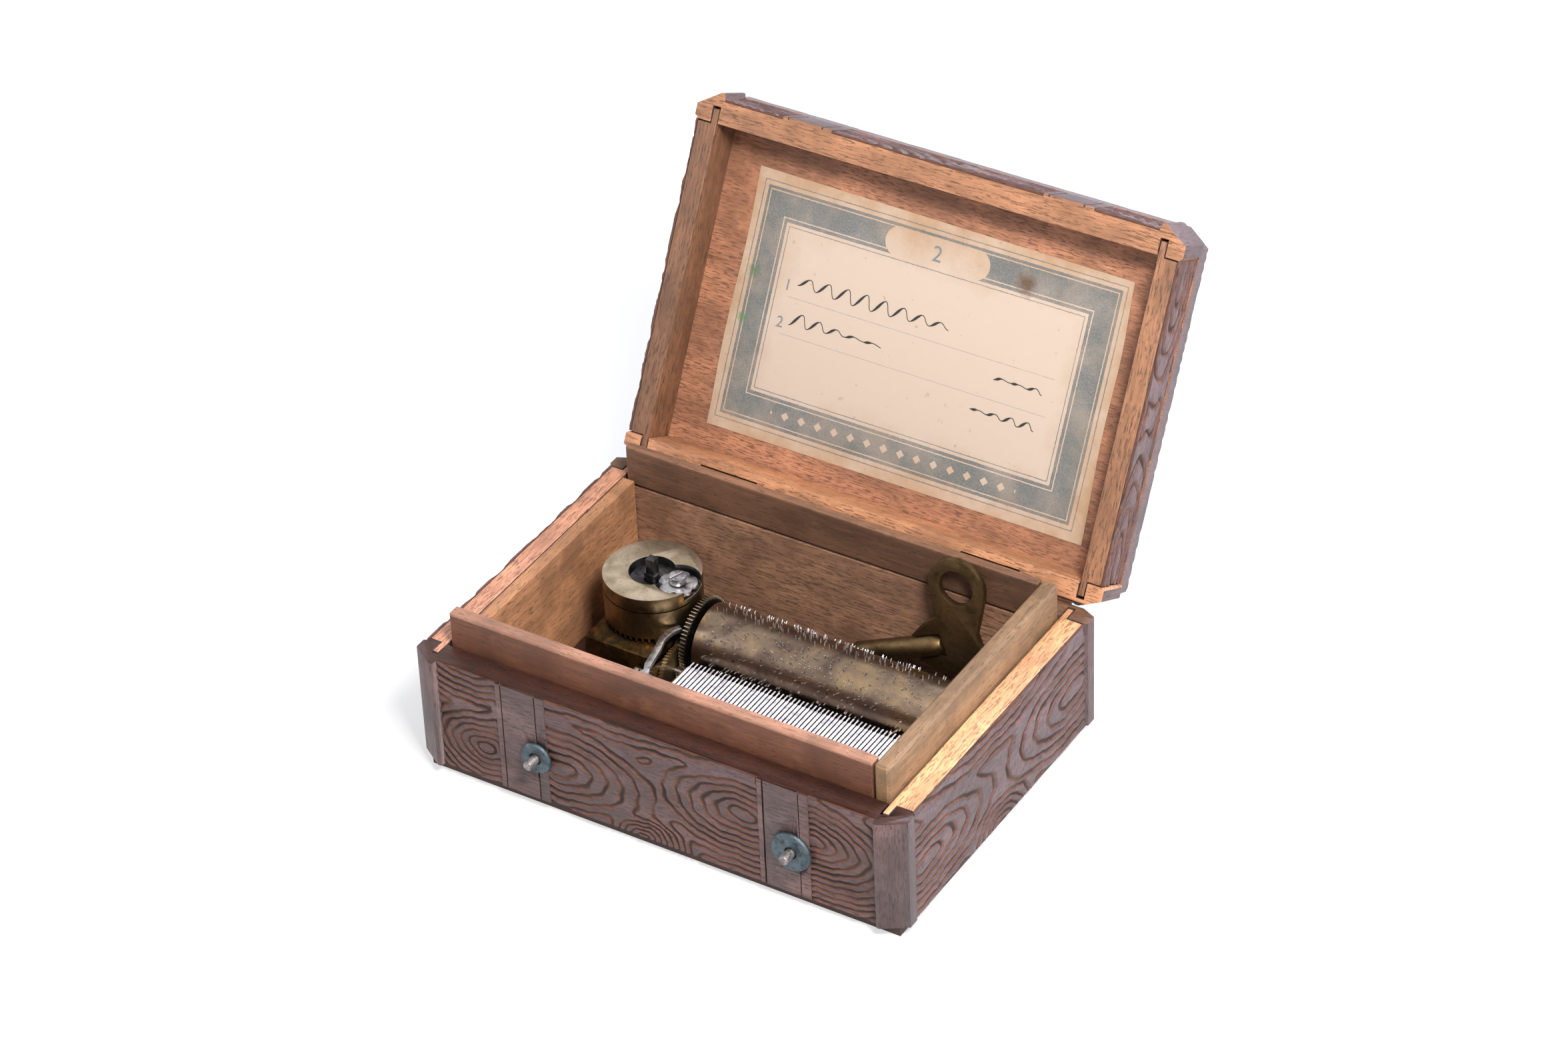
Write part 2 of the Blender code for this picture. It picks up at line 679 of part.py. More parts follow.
def gear_outline(teeth, module, phase=0.0):
    """Outline of a toothed wheel with one tooth centred on the phase angle."""
    radius = teeth * module / 2
    root = radius - DEDENDUM * module
    tip = radius + ADDENDUM * module
    pitch = 2 * math.pi / teeth
    points = []
    for tooth in range(teeth):
        middle = phase + tooth * pitch
        for distance, share in ((root, -TOOTH_SHARE_ROOT), (tip, -TOOTH_SHARE_TIP),
                                (tip, TOOTH_SHARE_TIP), (root, TOOTH_SHARE_ROOT)):
            angle = middle + share * pitch / 2
            points.append((distance * math.cos(angle), distance * math.sin(angle)))
    return points


# Case

def build_case():
    walls = RIM - WALL_FOOT
    middle = (0.0, 0.0, WALL_FOOT + walls / 2)
    front = long_wall_outline(FRONT_WALL, POST_PROUD, LEFT_WALL, RIGHT_WALL)
    front_panel = plate("front_panel", from_corner(front), walls, middle, CARVED_WOOD)
    back = long_wall_outline(BACK_WALL, 0.0, LEFT_WALL, RIGHT_WALL)
    back_panel = plate("back_panel", from_corner(turned_round(back)), walls, middle, CARVED_WOOD)
    left = side_wall_outline(LEFT_WALL, FRONT_WALL, BACK_WALL)
    left_panel = plate("left_panel", from_corner(left), walls, middle, CARVED_WOOD)
    right = mirrored(side_wall_outline(RIGHT_WALL, FRONT_WALL, BACK_WALL))
    right_panel = plate("right_panel", from_corner(right), walls, middle, CARVED_WOOD)
    for name, x in (("start_hole", START_KNOB_X), ("change_hole", CHANGE_KNOB_X)):
        bore(front_panel, name, ROD_RADIUS + RUNNING_GAP,
             spot(x, FRONT_WALL + GAP, KNOB_HEIGHT), FRONT_WALL + 3 * GAP, ALONG_Y)
    chamfer_back_edge(back_panel, "case_back_chamfer", RIM)
    ends = [(POST_DEPTH + POST_GROOVE, WIDTH - POST_DEPTH - POST_GROOVE)]
    carve_ovals(front_panel, FRONT_OVALS, long_fields(), lambda along: (along, OVAL_DEPTH), ALONG_Y)
    carve_ovals(back_panel, BACK_OVALS, long_fields(),
                lambda along: (LENGTH - along, WIDTH - OVAL_DEPTH), ALONG_Y)
    carve_ovals(left_panel, SIDE_OVALS, ends, lambda along: (OVAL_DEPTH, WIDTH - along), ALONG_X)
    carve_ovals(right_panel, SIDE_OVALS, ends, lambda along: (LENGTH - OVAL_DEPTH, along), ALONG_X)
    build_board()
    return front_panel, back_panel


def long_fields():
    """Ends of the carved fields between the posts and the straps of a long wall."""
    post = POST_LENGTH + POST_GROOVE
    return [(post, STRAP_FIRST), (STRAP_FIRST + STRAP_WIDTH, STRAP_SECOND),
            (STRAP_SECOND + STRAP_WIDTH, LENGTH - post)]


def carve_ovals(wall, ovals, fields, place, turn):
    """Oval grooves round the eyes of the carving, kept clear of posts, straps and edges."""
    across = Vector((0.0, 1.0, 0.0)) if turn == ALONG_Y else Vector((1.0, 0.0, 0.0))
    across *= OVAL_MARGIN * 2
    for index, (field, share, height, step_along, step_up) in enumerate(ovals):
        low, high = fields[field]
        middle = spot(*place(low + share * (high - low)), height)
        ends = [spot(*place(low + OVAL_MARGIN), WALL_FOOT + OVAL_MARGIN),
                spot(*place(high - OVAL_MARGIN), RIM - OVAL_MARGIN)]
        for number in OVAL_RINGS:
            radius = number * step_up
            profile = [(radius, OVAL_GROOVE), (radius + OVAL_GROOVE, 0.0),
                       (radius, -OVAL_GROOVE), (radius - OVAL_GROOVE, 0.0)]
            groove = turned(f"{wall.name}_oval_{index}_{number}", profile, middle, CARVED_WOOD,
                            turn, OVAL_STEPS, closed=True)
            groove.scale = (step_along / step_up, 1.0, 1.0)
            least = Vector([min(pair) for pair in zip(*ends)]) - across
            most = Vector([max(pair) for pair in zip(*ends)]) + across
            change_shape(groove, block(f"{groove.name}_field", least, most, CARVED_WOOD),
                         "INTERSECT")
            cut(wall, groove)


def chamfer_back_edge(wall, name, height):
    side = BACK_CHAMFER * math.sqrt(2.0)
    half = Vector((LENGTH, side / 2, side / 2))
    cutter = block(name, -half, half, PLAIN_WOOD)
    cutter.location = spot(LENGTH / 2, WIDTH, height)
    cutter.rotation_euler = (math.pi / 4, 0.0, 0.0)
    cut(wall, cutter)


def build_board():
    board = block("bottom_board", spot(BOARD_INSET, BOARD_INSET, 0.0),
                  spot(LENGTH - BOARD_INSET, WIDTH - BOARD_INSET, BOARD_THICKNESS), PLAIN_WOOD)
    depth = BOARD_THICKNESS / 2
    for index, (x, y) in enumerate(bed_screw_places()):
        bore(board, f"board_screw_hole_{index}", BED_SCREW_RADIUS + GAP,
             spot(x, y, BOARD_THICKNESS - depth), depth + GAP)


def build_liners():
    foot = WALL_FOOT
    left_end = LID_SIDE_WALL + LID_SWEEP_GAP
    front_face = FRONT_WALL + LINER_GAP
    right_face = LENGTH - RIGHT_WALL - LINER_GAP
    front_liner = block("front_liner", spot(left_end, front_face, foot),
                        spot(RIGHT_INSIDE - GAP, FRONT_INSIDE, LINER_TOP), LINER_WOOD)
    for name, x in (("start_liner_hole", START_KNOB_X), ("change_liner_hole", CHANGE_KNOB_X)):
        bore(front_liner, name, ROD_RADIUS + RUNNING_GAP,
             spot(x, FRONT_INSIDE + GAP, KNOB_HEIGHT), FRONT_LINER + 2 * GAP, ALONG_Y)
    soften(front_liner, LINER_BEVEL, 80.0)
    right_liner = block("right_liner", spot(RIGHT_INSIDE, front_face, foot),
                        spot(right_face, BACK_INSIDE + BACK_LINER, LINER_TOP), LINER_WOOD)
    soften(right_liner, LINER_BEVEL)
    block("left_liner", spot(LEFT_WALL + GAP, FRONT_INSIDE + GAP, foot),
          spot(LEFT_INSIDE, BACK_INSIDE - GAP, RIM), PLAIN_WOOD)
    strip_foot = LINER_TOP - BACK_STRIP_HEIGHT
    block("back_liner", spot(left_end, BACK_INSIDE, foot),
          spot(RIGHT_INSIDE - GAP, BACK_INSIDE + BACK_LINER, strip_foot - 2 * GAP), LINER_WOOD)
    strip = block("back_strip", spot(left_end, BACK_INSIDE, strip_foot),
                  spot(RIGHT_INSIDE - GAP, BACK_INSIDE + BACK_LINER, LINER_TOP), LINER_WOOD)
    soften(strip, LINER_BEVEL / 2)


# Lid, modelled closed

def build_lid():
    middle = (0.0, 0.0, LID_FOOT + LID_WALL_HEIGHT / 2)
    front = long_wall_outline(LID_FRONT_WALL, POST_PROUD, LID_SIDE_WALL, LID_SIDE_WALL)
    front_wall = plate("lid_front_wall", from_corner(front), LID_WALL_HEIGHT, middle, CARVED_WOOD)
    back = long_wall_outline(LID_BACK_WALL, 0.0, LID_SIDE_WALL, LID_SIDE_WALL)
    back_wall = plate("lid_back_wall", from_corner(turned_round(back)), LID_WALL_HEIGHT, middle,
                      CARVED_WOOD)
    left = side_wall_outline(LID_SIDE_WALL, LID_FRONT_WALL, LID_BACK_WALL)
    left_wall = plate("lid_left_wall", from_corner(left), LID_WALL_HEIGHT, middle, CARVED_WOOD)
    right_wall = plate("lid_right_wall", from_corner(mirrored(left)), LID_WALL_HEIGHT, middle,
                       CARVED_WOOD)
    chamfer_back_edge(back_wall, "lid_back_chamfer", LID_FOOT)
    top = build_lid_top()
    label = build_label()
    return [front_wall, back_wall, left_wall, right_wall, top, label], back_wall


def build_lid_top():
    """Top board: one outline with corner facets, chamfered round its upper edge."""
    facet_x = POST_FACET_LENGTH
    facet_y = POST_FACET_DEPTH + POST_PROUD
    quarter = [(0.0, facet_y), (facet_x, 0.0)]
    outline = quarter + [(LENGTH - x, y) for x, y in reversed(quarter)]
    outline += [(x, WIDTH - y) for x, y in reversed(outline)]
    z = LID_CEILING + LID_TOP_THICKNESS / 2
    top = plate("lid_top_panel", from_corner(outline), LID_TOP_THICKNESS, (0.0, 0.0, z), CARVED_WOOD)
    bm = bmesh.new()
    bm.from_mesh(top.data)
    upper = [edge for edge in bm.edges
             if all(vert.co.z > 0 for vert in edge.verts) and len(edge.link_faces) == 2
             and abs(edge.calc_face_angle()) > math.radians(60.0)]
    bmesh.ops.bevel(bm, geom=upper, offset=LID_TOP_CHAMFER, segments=1, affect="EDGES")
    bm.to_mesh(top.data)
    bm.free()
    return top


def build_label():
    left = LID_SIDE_WALL + LABEL_MARGIN_SIDE
    right = LENGTH - LID_SIDE_WALL - LABEL_MARGIN_SIDE
    front = LID_FRONT_WALL + LABEL_MARGIN_FRONT
    back = WIDTH - LID_BACK_WALL - LABEL_MARGIN_BACK
    outline = [(left, front), (right, front), (right, back), (left, back)]
    z = LID_CEILING - GAP - LABEL_THICKNESS / 2
    return plate("lid_label", from_corner(outline), LABEL_THICKNESS, (0.0, 0.0, z), PAPER)


# Hinges

def leaf_outline(side):
    """Leaf and knuckle in the (y, z) plane round the pin; side is 1 up, -1 down."""
    near = GAP / 2 + 0.1 * MM
    far = near + HINGE_LEAF_THICKNESS
    start = math.atan2(-far, -math.sqrt(HINGE_KNUCKLE_RADIUS ** 2 - far ** 2))
    end = math.atan2(-near, -math.sqrt(HINGE_KNUCKLE_RADIUS ** 2 - near ** 2))
    sweep = end - start
    if sweep <= 0:
        sweep += 2 * math.pi
    points = [(-HINGE_LEAF_DEPTH, -near), (-HINGE_LEAF_DEPTH, -far)]
    arc_steps = 18
    for step in range(arc_steps + 1):
        angle = start + sweep * step / arc_steps
        points.append((HINGE_KNUCKLE_RADIUS * math.cos(angle),
                       HINGE_KNUCKLE_RADIUS * math.sin(angle)))
    return [(y, -side * z) for y, z in points]


def build_hinge(side_name, x, back_panel, back_wall):
    """One butt hinge: a leaf in the case that holds the pin, and a leaf in the lid."""
    middle = spot(x, HINGE_Y, HINGE_Z)
    hole = ring(HINGE_PIN_RADIUS + RUNNING_GAP, 16)
    case_leaf = plate(f"hinge_leaf_case_{side_name}", leaf_outline(-1), HINGE_LENGTH, middle,
                      BRASS, ALONG_X)
    lid_leaf = plate(f"hinge_leaf_lid_{side_name}", leaf_outline(1), HINGE_LENGTH, middle,
                     BRASS, ALONG_X, [hole])
    pin_half = HINGE_LENGTH / 2 - GAP
    pin = rod(f"hinge_pin_{side_name}", [(HINGE_PIN_RADIUS, -pin_half, pin_half)], middle, BRASS,
              ALONG_X, 16)
    swing = HINGE_KNUCKLE_RADIUS + GAP
    middle_half = HINGE_LENGTH * HINGE_MIDDLE_SHARE / 2
    gap_half = middle_half + RUNNING_GAP
    cut(case_leaf, block(f"case_knuckle_gap_{side_name}",
                         middle + Vector((-gap_half, -swing, -2 * swing)),
                         middle + Vector((gap_half, 2 * swing, 2 * swing)), BRASS))
    for end, low, high in (("left", -HINGE_LENGTH, -middle_half), ("right", middle_half, HINGE_LENGTH)):
        cut(lid_leaf, block(f"lid_knuckle_gap_{side_name}_{end}",
                            middle + Vector((low, -swing, -2 * swing)),
                            middle + Vector((high, 2 * swing, 2 * swing)), BRASS))
    half = HINGE_LENGTH / 2 + GAP
    for wall, name, low, high in (
            (back_panel, "case", -HINGE_LEAF_THICKNESS - 2 * GAP, 0.0),
            (back_wall, "lid", 0.0, HINGE_LEAF_THICKNESS + 2 * GAP)):
        cut(wall, block(f"{name}_mortise_{side_name}",
                        middle + Vector((-half, -HINGE_LEAF_DEPTH - GAP, low)),
                        middle + Vector((half, 2 * swing, high)), BRASS))
        cut(wall, rod(f"{name}_knuckle_notch_{side_name}", [(swing, -half, half)],
                      middle, BRASS, ALONG_X))
    join(case_leaf, pin)
    return lid_leaf


# Bedplate and its screws

def bed_corners():
    low = (LEFT_INSIDE + BED_MARGIN_LEFT, FRONT_INSIDE + BED_MARGIN_FRONT)
    high = (RIGHT_INSIDE - BED_MARGIN_RIGHT, BACK_INSIDE - BED_MARGIN_BACK)
    return low, high


def bed_screw_places():
    (left, front), (right, back) = bed_corners()
    inset = BED_SCREW_INSET
    return [(left + inset, front + inset), (right - inset, back - inset)]


def build_bedplate():
    (left, front), (right, back) = bed_corners()
    outline = [(left, front), (right, front), (right, back), (left, back)]
    holes = [from_corner(ring(BED_SCREW_RADIUS + GAP, 12, place)) for place in bed_screw_places()]
    holes.append(from_corner(ring(ARBOR_PIVOT_RADIUS + RUNNING_GAP, ROUND_STEPS,
                                  (BARREL_FROM_LEFT, TRAIN_FROM_FRONT))))
    middle = (0.0, 0.0, BED_BOTTOM + BED_THICKNESS / 2)
    bed = plate("bedplate", from_corner(outline), BED_THICKNESS, middle, DARK_BRASS, holes=holes)
    stud_top = BED_TOP + RATCHET_ABOVE_BED + RATCHET_THICKNESS + GAP
    join(bed, rod("click_stud", [(CLICK_PIN_RADIUS, BED_BOTTOM + GAP, stud_top)],
                  spot(*click_pivot(), 0.0), STEEL, steps=16))
    head = BED_TOP + GAP
    tip = BOARD_THICKNESS / 2 + GAP
    for index, (x, y) in enumerate(bed_screw_places()):
        sections = [(BED_SCREW_HEAD_RADIUS, head, head + BED_SCREW_HEAD_HEIGHT),
                    (BED_SCREW_RADIUS, tip, head)]
        rod(f"bedplate_screw_{index + 1}", sections, spot(x, y, 0.0), STEEL, steps=16)


# Spring barrel, its bridge, the winding work and the stop work

def click_pivot():
    return BARREL_FROM_LEFT - CLICK_PIVOT_LEFT, TRAIN_FROM_FRONT - CLICK_PIVOT_FRONT


def build_bridge():
    """Bridge over the ratchet wheel: a top plate on a front leg and a back leg."""
    foot = BED_TOP + GAP
    front = TRAIN_FROM_FRONT - BRIDGE_FRONT
    back = TRAIN_FROM_FRONT + BRIDGE_BACK
    under = BRIDGE_TOP - BRIDGE_TOP_THICKNESS
    outline = [(front, foot), (front + BRIDGE_LEG, foot), (front + BRIDGE_LEG, under),
               (back - BRIDGE_LEG, under), (back - BRIDGE_LEG, foot), (back, foot),
               (back, BRIDGE_TOP), (front, BRIDGE_TOP)]
    right = LEFT_PLATE_X - GAP
    x = right - BRIDGE_WIDTH / 2
    points = [(y - WIDTH / 2, z) for y, z in outline]
    bridge = plate("barrel_bridge", points, BRIDGE_WIDTH, (x - LENGTH / 2, 0.0, 0.0), DARK_BRASS,
                   ALONG_X)
    bore(bridge, "bridge_bearing", ARBOR_RADIUS + RUNNING_GAP,
         spot(BARREL_FROM_LEFT, TRAIN_FROM_FRONT, under - GAP), BRIDGE_TOP_THICKNESS + 2 * GAP)


def build_drum():
    """Barrel drum with a ring of crown teeth under its floor."""
    floor_top = DRUM_BOTTOM + BARREL_FLOOR
    hole = ARBOR_RADIUS + RUNNING_GAP
    inner = DRUM_RADIUS - BARREL_WALL
    crown_inner = DRUM_RADIUS - CROWN_WIDTH
    profile = [(DRUM_RADIUS, DRUM_TOP), (DRUM_RADIUS, CROWN_TIP_Z), (crown_inner, CROWN_TIP_Z),
               (crown_inner, DRUM_BOTTOM), (hole, DRUM_BOTTOM), (hole, floor_top),
               (inner, floor_top), (inner, DRUM_TOP)]
    place = spot(BARREL_FROM_LEFT, TRAIN_FROM_FRONT, 0.0)
    drum = turned("barrel_drum", profile, place, BRASS, steps=WIDE_STEPS, closed=True)
    cut(drum, crown_gaps(place))
    return drum


def crown_gaps(place):
    """The spaces between the crown teeth, one of them centred on +X."""
    pitch = 2 * math.pi / CROWN_TEETH
    width = (1.0 - TOOTH_SHARE_TIP) * pitch * CROWN_RADIUS
    length = CROWN_WIDTH + 4 * GAP
    height = CROWN_DEPTH + GAP
    bm = bmesh.new()
    for tooth in range(CROWN_TEETH):
        made = bmesh.ops.create_cube(bm, size=1.0)
        verts = made["verts"]
        bmesh.ops.scale(bm, vec=(length, width, height), verts=verts)
        middle = Vector((DRUM_RADIUS - CROWN_WIDTH / 2, 0.0, CROWN_TIP_Z - GAP + height / 2 - 0.05 * MM))
        bmesh.ops.translate(bm, vec=middle, verts=verts)
        bmesh.ops.rotate(bm, cent=(0.0, 0.0, 0.0), matrix=Matrix.Rotation(tooth * pitch, 3, "Z"),
                         verts=verts)
    mesh = bpy.data.meshes.new("crown_gaps")
    bm.to_mesh(mesh)
    bm.free()
    return add_object("crown_gaps", mesh, place)


def build_cap():
    """Thick barrel cap with the round recess of the winding square and the stop wheel."""
    hole = ARBOR_RADIUS + RUNNING_GAP
    place = spot(BARREL_FROM_LEFT, TRAIN_FROM_FRONT, 0.0)
    profile = [(DRUM_RADIUS, BARREL_TOP), (DRUM_RADIUS, CAP_BOTTOM), (hole, CAP_BOTTOM),
               (hole, RECESS_FLOOR), (RECESS_RADIUS, RECESS_FLOOR), (RECESS_RADIUS, BARREL_TOP)]
    cap = turned("barrel_cap", profile, place, BRASS, steps=WIDE_STEPS, closed=True)
    stop_x = BARREL_FROM_LEFT + STOP_WHEEL_OFFSET
    recess = rod("stop_recess", [(RECESS_RADIUS, RECESS_FLOOR, BARREL_TOP + GAP)],
                 spot(stop_x, TRAIN_FROM_FRONT, 0.0), BRASS, steps=WIDE_STEPS)
    cut(cap, recess)
    bore(cap, "stop_screw_hole", STOP_SCREW_RADIUS + GAP,
         spot(stop_x, TRAIN_FROM_FRONT, CAP_BOTTOM + GAP), CAP_THICKNESS)
    return cap


def spiral_outline(inner, outer, turns, thickness, points_a_turn):
    """Both edges of a ribbon wound in an even spiral."""
    steps = round(turns * points_a_turn)
    growth = (outer - inner - thickness) / turns
    outside = []
    inside = []
    for step in range(steps + 1):
        angle = 2 * math.pi * step / points_a_turn
        radius = inner + growth * step / points_a_turn
        outside.append(((radius + thickness) * math.cos(angle),
                        (radius + thickness) * math.sin(angle)))
        inside.append((radius * math.cos(angle), radius * math.sin(angle)))
    return outside + inside[::-1]


def build_mainspring():
    inner = ARBOR_HUB_RADIUS + RUNNING_GAP
    outer = DRUM_RADIUS - BARREL_WALL - GAP
    outline = spiral_outline(inner, outer, SPRING_TURNS, SPRING_THICKNESS, SPRING_POINTS_A_TURN)
    foot = DRUM_BOTTOM + BARREL_FLOOR + GAP
    place = spot(BARREL_FROM_LEFT, TRAIN_FROM_FRONT, foot + SPRING_HEIGHT / 2)
    return plate("mainspring", outline, SPRING_HEIGHT, place, DARK_STEEL)


def build_winding_arbor():
    """Arbor from the bedplate through the barrel, with the winding square on top."""
    square_foot = BARREL_TOP - 2 * GAP
    hub_low = DRUM_BOTTOM + BARREL_FLOOR + GAP
    hub_high = CAP_BOTTOM - GAP
    sections = [(ARBOR_RADIUS, hub_high, square_foot), (ARBOR_HUB_RADIUS, hub_low, hub_high),
                (ARBOR_RADIUS, BED_TOP + GAP, hub_low),
                (ARBOR_PIVOT_RADIUS, BED_BOTTOM + GAP, BED_TOP + GAP)]
    place = spot(BARREL_FROM_LEFT, TRAIN_FROM_FRONT, 0.0)
    arbor = rod("winding_arbor", sections, place, DARK_STEEL)
    half = WINDING_SQUARE / 2
    low = place + Vector((-half, -half, square_foot - GAP))
    high = place + Vector((half, half, square_foot + WINDING_SQUARE_HEIGHT))
    join(arbor, block("winding_square", low, high, DARK_STEEL))
    finger_reach = STOP_WHEEL_OFFSET - STOP_WHEEL_RADIUS - RUNNING_GAP
    low = place + Vector((-finger_reach, -half / 2, RECESS_FLOOR + GAP))
    high = place + Vector((0.0, half / 2, RECESS_FLOOR + GAP + STOP_WHEEL_THICKNESS))
    join(arbor, block("stop_finger", low, high, DARK_STEEL))
    return arbor


def build_stop_work():
    """Notched stop wheel on its shouldered, slotted screw."""
    outline = []
    steps = 60
    spacing = 2 * math.pi / STOP_WHEEL_NOTCHES
    for step in range(steps):
        angle = 2 * math.pi * step / steps
        away = (angle + spacing / 2) % spacing - spacing / 2
        depth = STOP_NOTCH_DEPTH * math.exp(-(away / STOP_NOTCH_ANGLE) ** 2)
        radius = STOP_WHEEL_RADIUS - depth
        outline.append((radius * math.cos(angle), radius * math.sin(angle)))
    stop_x = BARREL_FROM_LEFT + STOP_WHEEL_OFFSET
    foot = RECESS_FLOOR + GAP
    hole = ring(STOP_SCREW_RADIUS + RUNNING_GAP, 16)
    wheel = plate("stop_wheel", outline, STOP_WHEEL_THICKNESS,
                  spot(stop_x, TRAIN_FROM_FRONT, foot + STOP_WHEEL_THICKNESS / 2), DARK_STEEL,
                  holes=[hole])
    under_head = foot + STOP_WHEEL_THICKNESS + RUNNING_GAP
    head_top = under_head + STOP_SCREW_HEAD_HEIGHT
    place = spot(stop_x, TRAIN_FROM_FRONT, 0.0)
    screw = rod("stop_wheel_screw",
                [(STOP_SCREW_HEAD_RADIUS, under_head, head_top),
                 (STOP_SCREW_RADIUS, CAP_BOTTOM + 2 * GAP, under_head)], place, STEEL)
    slot = screw_slot("stop_screw_slot", STOP_SCREW_HEAD_RADIUS, place, head_top)
    cut(screw, slot)
    return wheel, screw


def screw_slot(name, radius, place, top):
    half = Vector((2 * radius, radius / 8, radius / 4))
    slot = block(name, -half, half, STEEL)
    slot.location = place + Vector((0.0, 0.0, top))
    slot.rotation_euler = (0.0, 0.0, math.radians(70.0))
    return slot


def build_winding_work(arbor):
    """Ratchet wheel fixed on the winding arbor, with its click and click spring."""
    points = []
    for tooth in range(RATCHET_TEETH):
        start = 2 * math.pi * tooth / RATCHET_TEETH
        end = 2 * math.pi * (tooth + 1) / RATCHET_TEETH
        root = RATCHET_RADIUS - RATCHET_TOOTH_DEPTH
        points.append((root * math.cos(start), root * math.sin(start)))
        points.append((RATCHET_RADIUS * math.cos(start), RATCHET_RADIUS * math.sin(start)))
        mid = (start + end) / 2
        middle_radius = RATCHET_RADIUS - RATCHET_TOOTH_DEPTH / 2
        points.append((middle_radius * math.cos(mid), middle_radius * math.sin(mid)))
    z = BED_TOP + RATCHET_ABOVE_BED + RATCHET_THICKNESS / 2
    join(arbor, plate("ratchet_wheel", points, RATCHET_THICKNESS,
                      spot(BARREL_FROM_LEFT, TRAIN_FROM_FRONT, z), STEEL))
    pivot_x, pivot_y = click_pivot()
    nose_radius = RATCHET_RADIUS + RUNNING_GAP
    nose = Vector((BARREL_FROM_LEFT - pivot_x + nose_radius * math.cos(CLICK_NOSE_ANGLE),
                   TRAIN_FROM_FRONT - pivot_y + nose_radius * math.sin(CLICK_NOSE_ANGLE)))
    along = nose.normalized()
    side = Vector((-along.y, along.x)) * CLICK_WIDTH / 2
    tail = -along * CLICK_WIDTH / 2
    corners = [tail - side, nose - side * 0.8, nose, along * nose.length * 0.55 + side, tail + side]
    click = plate("click", [(p.x, p.y) for p in corners], CLICK_THICKNESS,
                  spot(pivot_x, pivot_y, z), STEEL, holes=[ring(CLICK_PIN_RADIUS + RUNNING_GAP, 12)])
    spring = build_click_spring(pivot_x, pivot_y, along, side, z)
    return click, spring


def build_click_spring(pivot_x, pivot_y, along, side, z):
    """Leaf spring along the outer flank of the click, on a foot of its own."""
    outward = -side.normalized()
    lift = side.length + CLICK_SPRING_GAP
    tip = along * CLICK_WIDTH
    tail = -along * CLICK_SPRING_LENGTH
    foot = tail + along * CLICK_WIDTH
    near = outward * lift
    far = outward * (lift + CLICK_SPRING_THICKNESS)
    deep = outward * (lift + CLICK_WIDTH)
    corners = [tail + near, tail + deep, foot + deep, foot + far, tip + far, tip + near]
    height = CLICK_THICKNESS + (z - BED_TOP - CLICK_THICKNESS / 2) - GAP
    return plate("click_spring", [(p.x, p.y) for p in corners], height,
                 spot(pivot_x, pivot_y, BED_TOP + GAP + height / 2), STEEL)


# Pinned cylinder and its arbor

def build_cylinder():
    axis = spot(0.0, TRAIN_FROM_FRONT, AXIS_Z)
    length = CYLINDER_RIGHT - CYLINDER_LEFT
    origin = axis + Vector((CYLINDER_LEFT, 0.0, 0.0))
    barrel = tube("pinned_cylinder", CYLINDER_RADIUS, CYLINDER_RADIUS - CYLINDER_WALL, length,
                  origin, BRONZE, ALONG_X, WIDE_STEPS)
    join(barrel, cylinder_pins(origin))
    cap_radius = CYLINDER_RADIUS - CYLINDER_WALL - GAP
    bore_radius = CYLINDER_ARBOR_RADIUS + RUNNING_GAP
    join(barrel, tube("cylinder_cap_left", cap_radius + 2 * GAP, bore_radius,
                      CYLINDER_CAP_THICKNESS, origin + Vector((GAP, 0.0, 0.0)), BRASS, ALONG_X,
                      WIDE_STEPS))
    profile = [(HUB_RADIUS, HUB_LENGTH), (HUB_RADIUS, 0.0), (cap_radius, 0.0),
               (cap_radius, -CYLINDER_CAP_THICKNESS), (bore_radius, -CYLINDER_CAP_THICKNESS),
               (bore_radius, HUB_LENGTH)]
    turned("cylinder_cap", profile, axis + Vector((CYLINDER_RIGHT, 0.0, 0.0)), BRASS, ALONG_X,
           WIDE_STEPS, closed=True)


def cylinder_pins(origin):
    """Short square pins set in tracks, one track for each comb tooth."""
    pitch_angle = 2 * math.pi / PINS_A_TRACK
    drift = math.pi * (3.0 - math.sqrt(5.0))
    bm = bmesh.new()
    height = 2 * PIN_HEIGHT
    for track in range(TOOTH_COUNT):
        x = COMB_LEFT + (track + 0.5) * TOOTH_PITCH - CYLINDER_LEFT
        for pin in range(PINS_A_TRACK):
            angle = track * drift + pin * pitch_angle
            verts = bmesh.ops.create_cube(bm, size=1.0)["verts"]
            bmesh.ops.scale(bm, vec=(height, PIN_SIZE, PIN_SIZE), verts=verts)
            bmesh.ops.translate(bm, vec=(CYLINDER_RADIUS + PIN_HEIGHT - height / 2, 0.0, x),
                                verts=verts)
            bmesh.ops.rotate(bm, cent=(0.0, 0.0, 0.0), matrix=Matrix.Rotation(angle, 3, "Z"),
                             verts=verts)
    mesh = bpy.data.meshes.new("cylinder_pins")
    bm.to_mesh(mesh)
    bm.free()
    return add_object("cylinder_pins", mesh, origin, ALONG_X)


